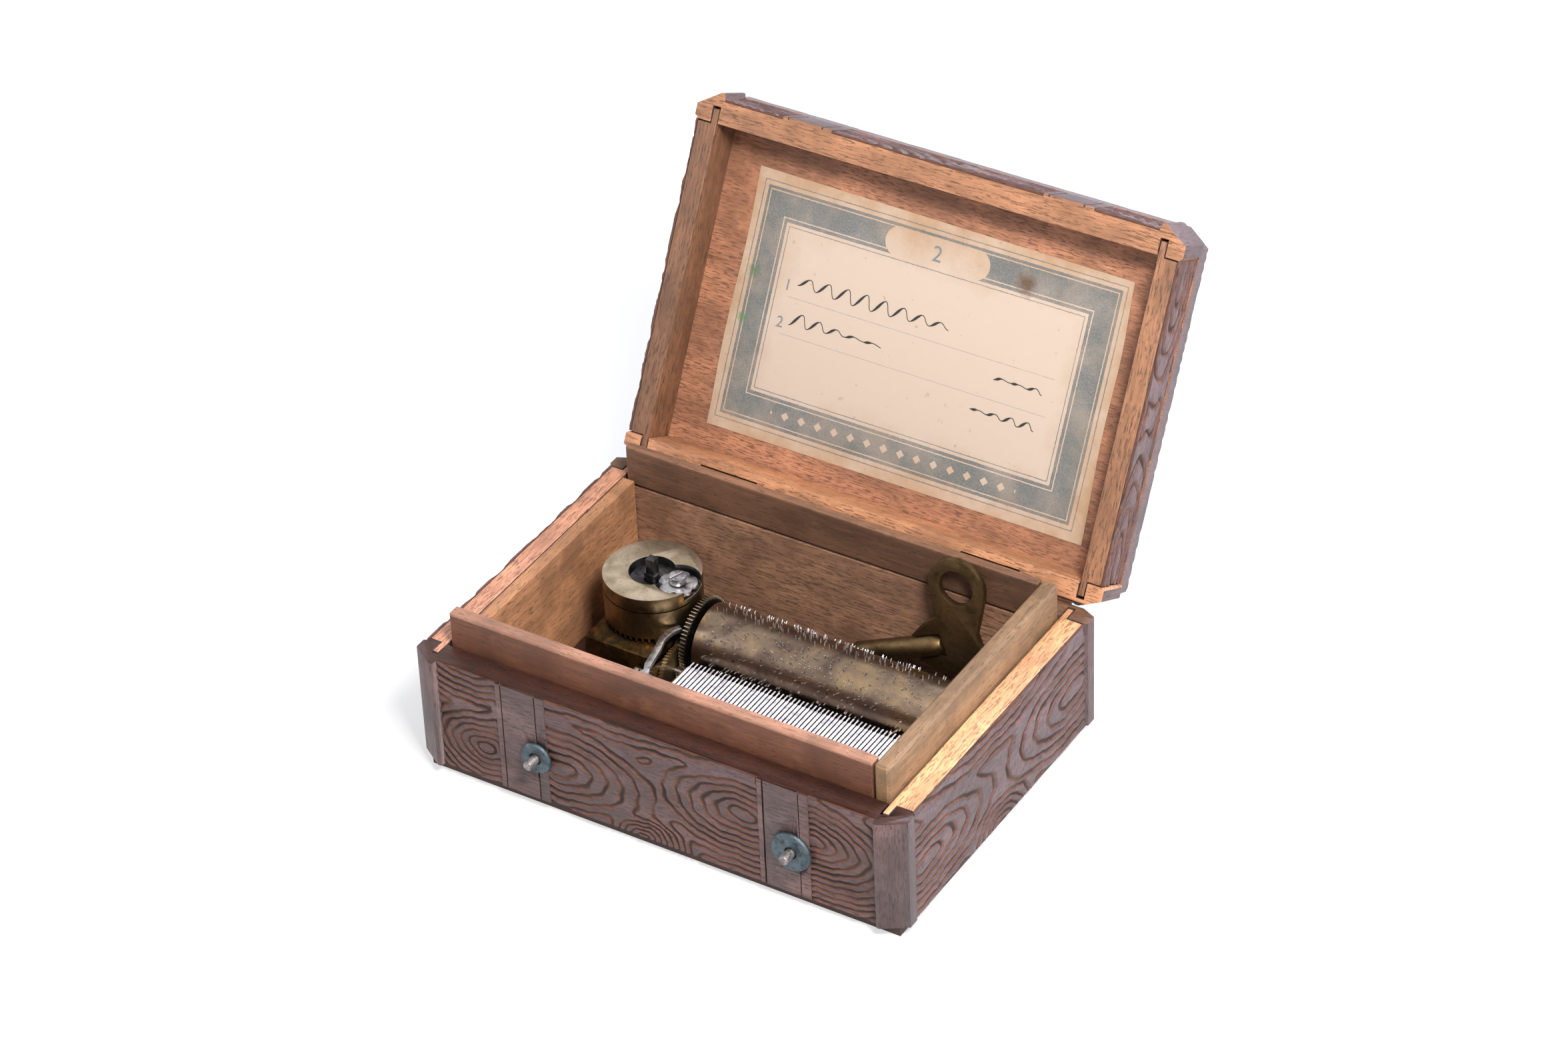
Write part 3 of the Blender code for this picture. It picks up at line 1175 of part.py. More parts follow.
def build_cylinder_arbor():
    axis = spot(0.0, TRAIN_FROM_FRONT, AXIS_Z)
    body_left = LEFT_PLATE_X + PLATE_THICKNESS + TRAIN_SPACING
    body_right = BRACKET_X - GAP
    sections = [(CYLINDER_PIVOT_RADIUS, body_right, CYLINDER_ARBOR_END),
                (CYLINDER_ARBOR_RADIUS, body_left, body_right),
                (CYLINDER_PIVOT_RADIUS, LEFT_PLATE_X, body_left)]
    arbor = rod("cylinder_arbor", sections, axis, STEEL, ALONG_X)
    hole = ring(CYLINDER_ARBOR_RADIUS + GAP, ROUND_STEPS)
    second_angle = math.atan2(SECOND_Z - AXIS_Z, SECOND_Y - TRAIN_FROM_FRONT)
    great = plate("great_wheel", gear_outline(GREAT_WHEEL_TEETH, GREAT_MODULE, second_angle),
                  GREAT_WHEEL_WIDTH, axis + Vector((GREAT_WHEEL_X + GREAT_WHEEL_WIDTH / 2, 0.0, 0.0)),
                  DARK_BRASS, ALONG_X, [hole])
    join(arbor, plate("cylinder_pinion",
                      gear_outline(BARREL_PINION_TEETH, CROWN_MODULE, math.pi / 2),
                      PINION_WIDTH, axis + Vector((PINION_X, 0.0, 0.0)), STEEL, ALONG_X))
    return arbor, great


def build_right_bracket():
    """Bearing bracket at the cylinder's right end, an angle with its foot outwards."""
    foot = BED_TOP + GAP
    top = AXIS_Z + 2 * CYLINDER_PIVOT_RADIUS + BRIDGE_LEG / 2
    foot_length = BRIDGE_LEG
    outline = [(0.0, foot), (foot_length, foot), (foot_length, foot + PLATE_THICKNESS),
               (PLATE_THICKNESS, foot + PLATE_THICKNESS), (PLATE_THICKNESS, top), (0.0, top)]
    place = spot(BRACKET_X, TRAIN_FROM_FRONT, 0.0)
    bracket = plate("cylinder_bracket_right", outline, STRAP_WIDTH / 2, place, BRASS, ALONG_Y)
    bore(bracket, "bracket_bearing", CYLINDER_PIVOT_RADIUS + RUNNING_GAP,
         spot(BRACKET_X - GAP, TRAIN_FROM_FRONT, AXIS_Z), PLATE_THICKNESS + 2 * GAP, ALONG_X)


# Governor train

def build_train_plates():
    foot = BED_TOP + GAP
    second = ring(WHEEL_PIVOT_RADIUS + RUNNING_GAP, 16, (SECOND_Y, SECOND_Z))
    third = ring(WHEEL_PIVOT_RADIUS + RUNNING_GAP, 16, (THIRD_Y, THIRD_Z))
    first = ring(CYLINDER_PIVOT_RADIUS + RUNNING_GAP, 16, (TRAIN_FROM_FRONT, AXIS_Z))
    front = THIRD_Y - BRIDGE_LEG
    shoulder = THIRD_Z + BRIDGE_LEG
    head = BRIDGE_TOP - GAP / 2
    left = [(front, foot), (TRAIN_FROM_FRONT + 4 * MM, foot), (TRAIN_FROM_FRONT + 4 * MM, SECOND_Z),
            (TRAIN_FROM_FRONT + 1.5 * MM, head), (TRAIN_FROM_FRONT - 1.5 * MM, head),
            (TRAIN_FROM_FRONT - 5 * MM, shoulder), (front, shoulder)]
    draw_train_plate("train_plate_left", left, [first, second, third], LEFT_PLATE_X,
                     PLATE_THICKNESS)
    edge = SECOND_Y + WHEEL_PIVOT_RADIUS + 2 * GAP
    right = [(front, foot), (edge, foot), (edge + GAP, SECOND_Z - 3 * MM), (edge, SECOND_Z),
             (SECOND_Y, SECOND_Z + 1.3 * MM), (THIRD_Y, shoulder - GAP), (front, shoulder - MM)]
    draw_train_plate("train_plate_right", right, [second, third], RIGHT_PLATE_X,
                     RIGHT_PLATE_THICKNESS)


def draw_train_plate(name, outline, holes, x, thickness):
    place = spot(x + thickness / 2, 0.0, 0.0)
    plate(name, outline, thickness, place, BRASS, ALONG_X, holes)


def wheel_arbor(name, y, z, pinion_teeth, module, pinion_x, pinion_width, pinion_phase):
    """Arbor between the train plates, cut in one with its pinion."""
    axis = spot(0.0, y, z)
    body_left = LEFT_PLATE_X + PLATE_THICKNESS + GAP
    body_right = RIGHT_PLATE_X - GAP
    root = pinion_teeth * module / 2 - DEDENDUM * module
    radius = min(WHEEL_ARBOR_RADIUS, root)
    pinion_right = pinion_x + pinion_width
    sections = [(WHEEL_PIVOT_RADIUS, body_right, RIGHT_PLATE_X + RIGHT_PLATE_THICKNESS),
                (radius, body_left, body_right),
                (WHEEL_PIVOT_RADIUS, LEFT_PLATE_X, body_left)]
    arbor = rod(name, sections, axis, STEEL, ALONG_X, 16)
    outline = gear_outline(pinion_teeth, module, pinion_phase)
    middle = axis + Vector(((pinion_x + pinion_right) / 2, 0.0, 0.0))
    join(arbor, plate(name + "_pinion", outline, pinion_width, middle, STEEL, ALONG_X))
    return arbor, radius


def build_second_wheel():
    towards_great = math.atan2(AXIS_Z - SECOND_Z, TRAIN_FROM_FRONT - SECOND_Y)
    phase = towards_great + math.pi / SECOND_PINION_TEETH
    arbor, radius = wheel_arbor("second_arbor", SECOND_Y, SECOND_Z, SECOND_PINION_TEETH,
                                GREAT_MODULE, GREAT_WHEEL_X, GREAT_WHEEL_WIDTH, phase)
    towards_third = math.atan2(THIRD_Z - SECOND_Z, THIRD_Y - SECOND_Y)
    wheel = plate("second_wheel", gear_outline(SECOND_WHEEL_TEETH, SECOND_MODULE, towards_third),
                  SECOND_WHEEL_WIDTH,
                  spot(SECOND_WHEEL_X + SECOND_WHEEL_WIDTH / 2, SECOND_Y, SECOND_Z), BRASS,
                  ALONG_X, [ring(radius + GAP, 16)])
    return arbor, wheel


def build_third_wheel():
    towards_second = math.atan2(SECOND_Z - THIRD_Z, SECOND_Y - THIRD_Y)
    phase = towards_second + math.pi / THIRD_PINION_TEETH
    arbor, radius = wheel_arbor("third_arbor", THIRD_Y, THIRD_Z, THIRD_PINION_TEETH,
                                SECOND_MODULE, SECOND_WHEEL_X, SECOND_WHEEL_WIDTH, phase)
    wheel = plate("third_wheel", gear_outline(THIRD_WHEEL_TEETH, THIRD_MODULE, math.pi),
                  THIRD_WHEEL_WIDTH,
                  spot(THIRD_WHEEL_X + THIRD_WHEEL_WIDTH / 2, THIRD_Y, THIRD_Z), BRASS, ALONG_X,
                  [ring(radius + GAP, 16)])
    return arbor, wheel


def worm_x():
    return THIRD_WHEEL_X + THIRD_WHEEL_WIDTH / 2


def build_endless_screw():
    """Upright worm shaft; the thread is half a pitch from the wheel tooth at rest."""
    foot = BED_TOP + GAP
    top = BED_TOP + FAN_ABOVE_BED + FAN_HEIGHT + 2 * GAP + COCK_ARM
    place = spot(worm_x(), WORM_Y, 0.0)
    shoulder_low = foot + COCK_ARM + GAP
    sections = [(WORM_CORE_RADIUS * 0.8, top - COCK_ARM - GAP, top),
                (WORM_CORE_RADIUS, shoulder_low, top - COCK_ARM - GAP),
                (WORM_CORE_RADIUS * 0.8, foot, shoulder_low)]
    screw = rod("endless_screw", sections, place, STEEL, steps=16)
    curve = bpy.data.curves.new("worm_thread", "CURVE")
    curve.dimensions = "3D"
    curve.bevel_depth = WORM_THREAD_RADIUS
    curve.bevel_resolution = 1
    curve.use_fill_caps = True
    steps = WORM_TURNS * WORM_POINTS_A_TURN
    spline = curve.splines.new("POLY")
    spline.points.add(steps)
    for index in range(steps + 1):
        turn = index / WORM_POINTS_A_TURN - WORM_TURNS / 2
        angle = 2 * math.pi * turn - math.pi / 2
        z = THIRD_Z + WORM_PITCH * turn
        spline.points[index].co = (WORM_THREAD_CENTRE * math.cos(angle),
                                   WORM_THREAD_CENTRE * math.sin(angle), z, 1.0)
    drawing = add_object("worm_thread_drawing", curve, place)
    join(screw, solid_from_curve("worm_thread", drawing, STEEL))
    return screw


def add_fan(screw):
    """Two-bladed fan on a small hub at the top of the worm shaft."""
    low = BED_TOP + FAN_ABOVE_BED
    place = spot(worm_x(), WORM_Y, 0.0)
    blade_low = place + Vector((-FAN_SPAN / 2, -FAN_THICKNESS / 2, low))
    blade_high = place + Vector((FAN_SPAN / 2, FAN_THICKNESS / 2, low + FAN_HEIGHT))
    join(screw, block("governor_fan", blade_low, blade_high, STEEL))
    join(screw, rod("fan_hub", [(FAN_HUB_RADIUS, low + GAP, low + FAN_HEIGHT - GAP)], place,
                    STEEL, steps=16))


def build_cock():
    """C-shaped cock that holds both pivots of the worm shaft."""
    foot = BED_TOP + GAP
    arm_low = BED_TOP + FAN_ABOVE_BED + FAN_HEIGHT + GAP
    post_back = WORM_Y - COCK_REACH + COCK_POST - MM
    post_front = post_back - COCK_POST
    reach = WORM_Y + MM
    outline = [(post_front, foot), (reach, foot), (reach, foot + COCK_ARM),
               (post_back, foot + COCK_ARM), (post_back, arm_low), (reach, arm_low),
               (reach, arm_low + COCK_ARM), (post_front, arm_low + COCK_ARM)]
    points = [(y - WIDTH / 2, z) for y, z in outline]
    cock = plate("governor_cock", points, COCK_WIDTH, (worm_x() - LENGTH / 2, 0.0, 0.0), BRASS,
                 ALONG_X)
    bore(cock, "cock_pivot_hole", WORM_CORE_RADIUS * 0.8 + RUNNING_GAP,
         spot(worm_x(), WORM_Y, foot - GAP), arm_low + COCK_ARM)
    return cock


# Comb

def comb_outline():
    """Comb in plan: a straight body and teeth that step down to narrow tips."""
    points = [(COMB_LEFT, COMB_FRONT), (COMB_RIGHT, COMB_FRONT)]
    shoulder = COMB_TIPS - TOOTH_TIP_LENGTH
    for tooth in reversed(range(TOOTH_COUNT)):
        middle = COMB_LEFT + (tooth + 0.5) * TOOTH_PITCH
        wide = TOOTH_WIDTH / 2
        narrow = TOOTH_TIP_WIDTH / 2
        points += [(middle + wide, COMB_ROOT), (middle + wide, shoulder),
                   (middle + narrow, shoulder), (middle + narrow, COMB_TIPS),
                   (middle - narrow, COMB_TIPS), (middle - narrow, shoulder),
                   (middle - wide, shoulder), (middle - wide, COMB_ROOT)]
    points[1] = (COMB_RIGHT, COMB_FRONT)
    points.insert(2, (COMB_RIGHT, COMB_ROOT))
    points.append((COMB_LEFT, COMB_ROOT))
    return points


def comb_screw_places():
    spacing = (COMB_RIGHT - COMB_LEFT) / COMB_SCREWS
    y = COMB_FRONT + COMB_BODY / 2
    return [(COMB_LEFT + (index + 0.5) * spacing, y) for index in range(COMB_SCREWS)]


def build_comb():
    holes = [from_corner(ring(COMB_SCREW_RADIUS + GAP, 12, place)) for place in comb_screw_places()]
    z = COMB_TOP - COMB_THICKNESS / 2
    plate("comb", from_corner(comb_outline()), COMB_THICKNESS, (0.0, 0.0, z), COMB_STEEL,
          holes=holes)
    base_top = COMB_TOP - COMB_THICKNESS - GAP
    base_foot = BED_TOP + GAP
    outline = [(COMB_LEFT, COMB_FRONT), (COMB_RIGHT, COMB_FRONT), (COMB_RIGHT, COMB_ROOT),
               (COMB_LEFT, COMB_ROOT)]
    plate("comb_base", from_corner(outline), base_top - base_foot,
          (0.0, 0.0, (base_top + base_foot) / 2), BRASS, holes=holes)
    head = COMB_TOP + GAP
    for index, (x, y) in enumerate(comb_screw_places()):
        sections = [(COMB_SCREW_HEAD_RADIUS, head, head + COMB_SCREW_HEAD_HEIGHT),
                    (COMB_SCREW_RADIUS, head - COMB_SCREW_LENGTH, head)]
        rod(f"comb_screw_{index + 1}", sections, spot(x, y, 0.0), STEEL, steps=16)


# Start and change controls

def build_washer(name, x, radius):
    bore_radius = ROD_RADIUS + RUNNING_GAP
    edge = WASHER_THICKNESS / 2
    profile = [(radius - edge / 2, WASHER_THICKNESS), (radius, edge), (radius, 0.0),
               (bore_radius, 0.0), (bore_radius, WASHER_THICKNESS)]
    turned(name, profile, spot(x, -GAP, KNOB_HEIGHT), PATINA, ALONG_Y, ROUND_STEPS, closed=True)


def build_start_control():
    """Start rod through the front wall and the lever that reaches the great wheel."""
    empty = axis_empty("start_slide_axis", spot(START_KNOB_X, 0.0, KNOB_HEIGHT))
    start_rod = rod("start_rod", [(ROD_RADIUS, -START_ROD_INSIDE, ROD_PROUD)],
                    spot(START_KNOB_X, 0.0, KNOB_HEIGHT), STEEL, ALONG_Y)
    riser_front = START_ROD_INSIDE - RISER_LENGTH / 2
    riser_back = riser_front + RISER_LENGTH
    half = ROD_RADIUS + RUNNING_GAP + RISER_SIDE
    middle_y = (riser_front + riser_back) / 2
    path = [Vector((START_KNOB_X, middle_y)),
            Vector((GREAT_WHEEL_X - LEVER_START_BEND, middle_y)),
            Vector((GREAT_WHEEL_X + LEVER_OVER_WHEEL, middle_y + LEVER_BEND_LENGTH)),
            Vector((GREAT_WHEEL_X - 0.1 * LEVER_BOW, WORM_Y + LEVER_THICKNESS)),
            Vector((GREAT_WHEEL_X - 0.54 * LEVER_BOW, THIRD_Y + LEVER_THICKNESS)),
            Vector((GREAT_WHEEL_X - LEVER_BOW, TRAIN_FROM_FRONT - LEVER_FAR_BEND)),
            Vector((GREAT_WHEEL_X - 0.92 * LEVER_BOW, TRAIN_FROM_FRONT - LEVER_NEAR_BEND)),
            Vector((GREAT_WHEEL_X - 0.46 * LEVER_BOW, TRAIN_FROM_FRONT - LEVER_TIP))]
    lever = plate("start_lever", from_corner(ribbon(path, LEVER_WIDTH)), LEVER_THICKNESS,
                  (0.0, 0.0, LEVER_Z + LEVER_THICKNESS / 2), STEEL)
    low = spot(START_KNOB_X - half, riser_front, KNOB_HEIGHT - half)
    high = spot(START_KNOB_X + half, riser_back, LEVER_Z + LEVER_THICKNESS / 2)
    join(lever, block("start_riser", low, high, STEEL))
    bore(lever, "start_riser_hole", ROD_RADIUS + GAP,
         spot(START_KNOB_X, riser_back + GAP, KNOB_HEIGHT), RISER_LENGTH + 2 * GAP, ALONG_Y)
    carry(empty, [start_rod, lever])


def build_change_control():
    """Change rod and the bar whose slope lets the cylinder shift by half a tooth."""
    empty = axis_empty("change_slide_axis", spot(CHANGE_KNOB_X, 0.0, KNOB_HEIGHT))
    change_rod = rod("change_rod", [(ROD_RADIUS, -CHANGE_ROD_INSIDE, ROD_PROUD)],
                     spot(CHANGE_KNOB_X, 0.0, KNOB_HEIGHT), STEEL, ALONG_Y)
    riser_front = CHANGE_ROD_INSIDE - RISER_LENGTH / 2
    riser_back = riser_front + RISER_LENGTH
    half = ROD_RADIUS + RUNNING_GAP + RISER_SIDE
    drop = AXIS_Z - CHANGE_BAR_Z - LEVER_THICKNESS / 2
    contact = TRAIN_FROM_FRONT - math.sqrt(HUB_RADIUS ** 2 - drop ** 2)
    slope = SHIFT_TRAVEL / CHANGE_TRAVEL
    bar_end = TRAIN_FROM_FRONT + CHANGE_TRAVEL + RISER_LENGTH
    right = CHANGE_BAR_X + CHANGE_BAR_WIDTH
    outline = [(CHANGE_KNOB_X - half, riser_front), (right, riser_front), (right, bar_end),
               (CHANGE_BAR_X + slope * (bar_end - contact), bar_end), (CHANGE_BAR_X, contact),
               (CHANGE_BAR_X, riser_back), (CHANGE_KNOB_X - half, riser_back)]
    lever = plate("change_lever", from_corner(outline), LEVER_THICKNESS,
                  (0.0, 0.0, CHANGE_BAR_Z + LEVER_THICKNESS / 2), STEEL)
    low = spot(CHANGE_KNOB_X - half, riser_front, CHANGE_BAR_Z + LEVER_THICKNESS / 2)
    high = spot(CHANGE_KNOB_X + half, riser_back, KNOB_HEIGHT + half)
    join(lever, block("change_riser", low, high, STEEL))
    bore(lever, "change_riser_hole", ROD_RADIUS + GAP,
         spot(CHANGE_KNOB_X, riser_back + GAP, KNOB_HEIGHT), RISER_LENGTH + 2 * GAP, ALONG_Y)
    carry(empty, [change_rod, lever])


def ribbon(path, width):
    """Outline of a flat strip of even width along a path."""
    left = []
    right = []
    for index, point in enumerate(path):
        before = path[max(index - 1, 0)]
        after = path[min(index + 1, len(path) - 1)]
        along = (after - before).normalized()
        side = Vector((-along.y, along.x)) * width / 2
        left.append(tuple(point + side))
        right.append(tuple(point - side))
    return left + right[::-1]


# Key

def key_outline():
    """Bow of the key in its own plane: two lobes, and a neck towards -X for the shank."""
    lobe = KEY_LOBE_RADIUS
    offset = KEY_LOBE_OFFSET
    waist = KEY_LOBE_RADIUS * 0.62
    steps = 10
    points = []
    for side in (1, -1):
        for step in range(steps + 1):
            share = step / steps
            angle = math.radians(-35.0 + 205.0 * share)
            x = lobe * math.cos(angle)
            y = offset + lobe * math.sin(angle)
            points.append((x, side * y) if side > 0 else None)
        if side > 0:
            upper = [point for point in points if point]
    lower = [(x, -y) for x, y in reversed(upper)]
    neck = [(-KEY_SHANK_START * 0.9, lobe * 0.95), (-KEY_SHANK_START * 1.35, lobe * 0.8),
            (-KEY_SHANK_START * 1.8, KEY_SHANK_RADIUS + 2 * GAP)]
    neck_low = [(x, -y) for x, y in reversed(neck)]
    notch = [(waist * 0.25, -lobe * 0.2), (waist * 0.25, lobe * 0.2)]
    return upper + neck + neck_low + lower + notch


def build_key():
    """Winding key standing on its lower lobe and leaning on the back liner."""
    lobe_hole_up = ring(KEY_HOLE_RADIUS, ROUND_STEPS, (0.0, KEY_LOBE_OFFSET))
    lobe_hole_down = ring(KEY_HOLE_RADIUS, ROUND_STEPS, (0.0, -KEY_LOBE_OFFSET))
    bow = plate("key_bow", key_outline(), KEY_THICKNESS, (0.0, 0.0, 0.0), DARK_BRASS,
                holes=[lobe_hole_up, lobe_hole_down])
    slot_half = KEY_SHANK_RADIUS + GAP
    slot = block("key_slot", Vector((-4 * KEY_SHANK_START, -slot_half, -KEY_THICKNESS)),
                 Vector((-KEY_SHANK_START + GAP, slot_half, KEY_THICKNESS)), DARK_BRASS)
    cut(bow, slot)
    shank_end = KEY_SHANK_START + KEY_SHANK_LENGTH
    cone = KEY_SHANK_RADIUS * 0.8
    profile = [(0.0, -KEY_SHANK_START), (KEY_SHANK_RADIUS * 0.6, -KEY_SHANK_START),
               (KEY_SHANK_RADIUS, -KEY_SHANK_START - cone), (KEY_SHANK_RADIUS, -shank_end),
               (0.0, -shank_end)]
    shank = turned("key_shank", profile, (0.0, 0.0, 0.0), DARK_BRASS)
    shank.rotation_euler = (0.0, math.pi / 2, 0.0)
    half = KEY_SOCKET / 2
    socket = block("key_socket", Vector((-shank_end - GAP, -half, -half)),
                   Vector((-shank_end + KEY_SOCKET_DEPTH, half, half)), DARK_BRASS)
    cut(shank, socket)
    empty = axis_empty("key_frame", (0.0, 0.0, 0.0))
    carry(empty, [bow, shank])
    drop = math.sin(math.pi / 2 - KEY_SHANK_DROP) * KEY_LOBE_OFFSET
    aside = math.cos(math.pi / 2 - KEY_SHANK_DROP) * KEY_LOBE_OFFSET
    lean = math.cos(KEY_LEAN)
    low_lobe_x = RIGHT_INSIDE - GAP - KEY_LOBE_RADIUS - MM
    hub_x = low_lobe_x - aside
    hub_z = BOARD_THICKNESS + 2 * GAP + (KEY_LOBE_RADIUS + drop) * lean
    top_reach = (KEY_LOBE_RADIUS + drop) * math.sin(KEY_LEAN)
    hub_y = BACK_INSIDE - 2 * GAP - KEY_THICKNESS / 2 - top_reach
    stand = Matrix.Rotation(math.pi / 2 - KEY_LEAN, 4, "X")
    dropped = Matrix.Rotation(KEY_SHANK_DROP, 4, "Z")
    empty.matrix_world = Matrix.Translation(spot(hub_x, hub_y, hub_z)) @ stand @ dropped


# Assembly

def main():
    _, back_panel = build_case()
    build_liners()
    lid_pieces, lid_back_wall = build_lid()
    for side_name, x in (("left", HINGE_FROM_END + HINGE_LENGTH / 2),
                         ("right", LENGTH - HINGE_FROM_END - HINGE_LENGTH / 2)):
        lid_pieces.append(build_hinge(side_name, x, back_panel, lid_back_wall))
    lid_axis = axis_empty("lid_hinge_axis", spot(LENGTH / 2, HINGE_Y, HINGE_Z))
    carry(lid_axis, lid_pieces)
    lid_axis.rotation_euler = (-LID_OPEN_ANGLE, 0.0, 0.0)
    build_bedplate()
    build_bridge()
    build_drum()
    build_cap()
    build_mainspring()
    winding_arbor = build_winding_arbor()
    build_stop_work()
    build_winding_work(winding_arbor)
    build_cylinder()
    build_cylinder_arbor()
    build_right_bracket()
    build_train_plates()
    build_second_wheel()
    build_third_wheel()
    add_fan(build_endless_screw())
    build_cock()
    build_comb()
    build_washer("start_washer", START_KNOB_X, START_WASHER_RADIUS)
    build_washer("change_washer", CHANGE_KNOB_X, CHANGE_WASHER_RADIUS)
    build_start_control()
    build_change_control()
    build_key()
    bpy.context.view_layer.update()


main()
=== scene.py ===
import math

import bpy
import numpy as np
from bpy.props import FloatProperty, FloatVectorProperty, IntProperty, PointerProperty
from bpy.types import Operator, Panel, PropertyGroup
from mathutils import Euler, Matrix, Vector


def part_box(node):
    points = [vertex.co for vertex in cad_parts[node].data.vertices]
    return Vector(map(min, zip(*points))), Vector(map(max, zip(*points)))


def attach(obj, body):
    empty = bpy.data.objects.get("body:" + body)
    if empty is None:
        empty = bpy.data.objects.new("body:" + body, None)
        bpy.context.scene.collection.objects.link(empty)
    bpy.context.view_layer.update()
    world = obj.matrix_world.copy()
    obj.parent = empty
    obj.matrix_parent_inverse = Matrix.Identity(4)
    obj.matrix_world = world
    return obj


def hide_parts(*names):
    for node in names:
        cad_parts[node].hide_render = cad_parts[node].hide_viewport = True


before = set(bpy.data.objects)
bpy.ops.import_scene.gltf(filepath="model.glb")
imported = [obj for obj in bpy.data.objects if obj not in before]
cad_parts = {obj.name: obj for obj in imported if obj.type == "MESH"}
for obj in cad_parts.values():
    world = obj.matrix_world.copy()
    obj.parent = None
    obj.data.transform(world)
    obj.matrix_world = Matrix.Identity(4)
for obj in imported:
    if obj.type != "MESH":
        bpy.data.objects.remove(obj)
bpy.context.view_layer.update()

bl_info = {
    "name": "Carved Musical Box",
    "version": (1, 0, 0),
    "blender": (4, 5, 0),
    "location": "View3D > Sidebar > Musical Box",
    "description": "Carves and finishes a key-wound musical box in wood, brass and steel",
    "category": "Add Mesh",
}

MM = 0.001
LENGTH = 120.0 * MM
WIDTH = 83.0 * MM
OPEN_ANGLE = math.radians(118.0)
HINGE = Vector((0.0, 41.0 * MM, 30.55 * MM))
UP = Vector((0, 0, 1))
LID_TURN = (Matrix.Translation(HINGE) @ Matrix.Rotation(-OPEN_ANGLE, 4, "X")
            @ Matrix.Translation(-HINGE))
SKIN = 0.02 * MM
SIDE_MARGIN = 5.75 * MM
CASE_FIELD, LID_FIELD = (2.75 * MM, 27.6 * MM), (30.75 * MM, 9.2 * MM)
CASE_CUT, LID_CUT = (0.0, 31.0 * MM), (30.0 * MM, 41.0 * MM)
CYLINDER_RADIUS = 8.4 * MM
TOOTH_PITCH = 1.03 * MM

# Places in millimetres, as the materials and the label count them
CENTRE_X, CENTRE_Y = 60.0, 41.5
CASE_RIM, LID_RIM, LINER_RIM = 30.33, 30.78, 38.3
LID_INSIDE, LID_TOP = 40.02, 45.38
PAPER_FACE, INK_FACE = 39.97, 39.93


# Sizes and colours that a user may change

def distance(name, description, default):
    return FloatProperty(name=name, description=description, default=default, min=0.0,
                         unit="LENGTH", subtype="DISTANCE", precision=5)


def colour(name, description, default):
    return FloatVectorProperty(name=name, description=description, default=default, size=3,
                               min=0.0, max=1.0, subtype="COLOR")


def group(name, description, kind):
    return PointerProperty(name=name, description=description, type=kind)


class CarvingSizes(PropertyGroup):
    """Sizes of the carved fields on the outside."""
    groove_depth: distance("Groove depth", "Deepest cut below the ridges", 0.64 * MM)
    groove_width: distance("Groove width", "Half the width of a cut groove", 0.92 * MM)
    cell: distance("Detail", "Size of the mesh's cells on a carved field", 0.25 * MM)
    back: distance("Field depth", "How far the fields lie below the straps", 0.68 * MM)
    bead: distance("First bead", "Width of the narrow bead of a strap", 1.3 * MM)
    broad_bead: distance("Second bead", "Width of the broad bead of a strap", 2.4 * MM)
    post: distance("Corner post", "Width of a corner post with its groove", 6.35 * MM)
    strap_first: distance("First strap", "Left edge of the first strap", 21.2 * MM)
    strap_second: distance("Second strap", "Left edge of the second strap", 85.8 * MM)
    strap_width: distance("Strap width", "Width of a carved strap", 12.2 * MM)


class WoodColours(PropertyGroup):
    """Colours of the stained, carved and bare wood."""
    ridge: colour("Ridge", "Worn high spots of the carving", (0.098, 0.052, 0.052))
    shoulder: colour("Shoulder", "Warm edges of the cuts", (0.110, 0.038, 0.017))
    # The groove colour is painted shade: the deeper cuts turn to this very dark colour.
    groove: colour("Groove", "Bottom of the cuts", (0.012, 0.005, 0.003))
    stain: colour("Stain", "Posts and straps", (0.112, 0.067, 0.064))
    rim_left: colour("Left rim", "Bare rim at the left", (0.620, 0.290, 0.175))
    rim_right: colour("Right rim", "Bare rim at the right", (0.680, 0.340, 0.160))
    rim_front: colour("Front rim", "Stained rim at the front", (0.046, 0.014, 0.008))
    lid_rim: colour("Lid rim", "Rims and inner faces of the lid", (0.340, 0.160, 0.082))
    lid_panel: colour("Lid panel", "Inside of the lid's top board", (0.370, 0.165, 0.090))
    front_liner: colour("Front liner", "Outside of the front liner", (0.160, 0.062, 0.032))
    liner_top: colour("Liner top", "Rubbed top edges of the liners", (0.360, 0.180, 0.115))
    right_liner: colour("Right liner", "Right liner", (0.230, 0.135, 0.068))
    back_liner: colour("Back liner", "Board behind the movement", (0.330, 0.175, 0.105))
    back_strip: colour("Back strip", "Strip along the top of the back", (0.140, 0.068, 0.038))
    left_liner: colour("Left liner", "Board at the left", (0.400, 0.190, 0.090))


class MetalColours(PropertyGroup):
    """Colours of the brass and steel."""
    brass: colour("Brass", "Aged brass of the barrel", (0.270, 0.190, 0.100))
    pale_brass: colour("Pale brass", "Rubbed top of the barrel", (0.450, 0.370, 0.270))
    dark_brass: colour("Dark brass", "Oiled dark brass", (0.135, 0.088, 0.042))
    bronze: colour("Cylinder", "Mottled cylinder", (0.250, 0.180, 0.130))
    # Golden patches on the cylinder: partly the bronze's own mottling, partly painted highlight.
    gold: colour("Gold patches", "Rubbed patches of the cylinder", (0.400, 0.280, 0.160))
    steel: colour("Steel", "Grey steel", (0.450, 0.440, 0.450))
    dark_steel: colour("Dark steel", "Oiled dark steel", (0.080, 0.078, 0.078))
    comb: colour("Comb", "Steel of the comb", (0.860, 0.850, 0.920))
    patina: colour("Patina", "Blue-green patina on the knobs", (0.095, 0.122, 0.140))


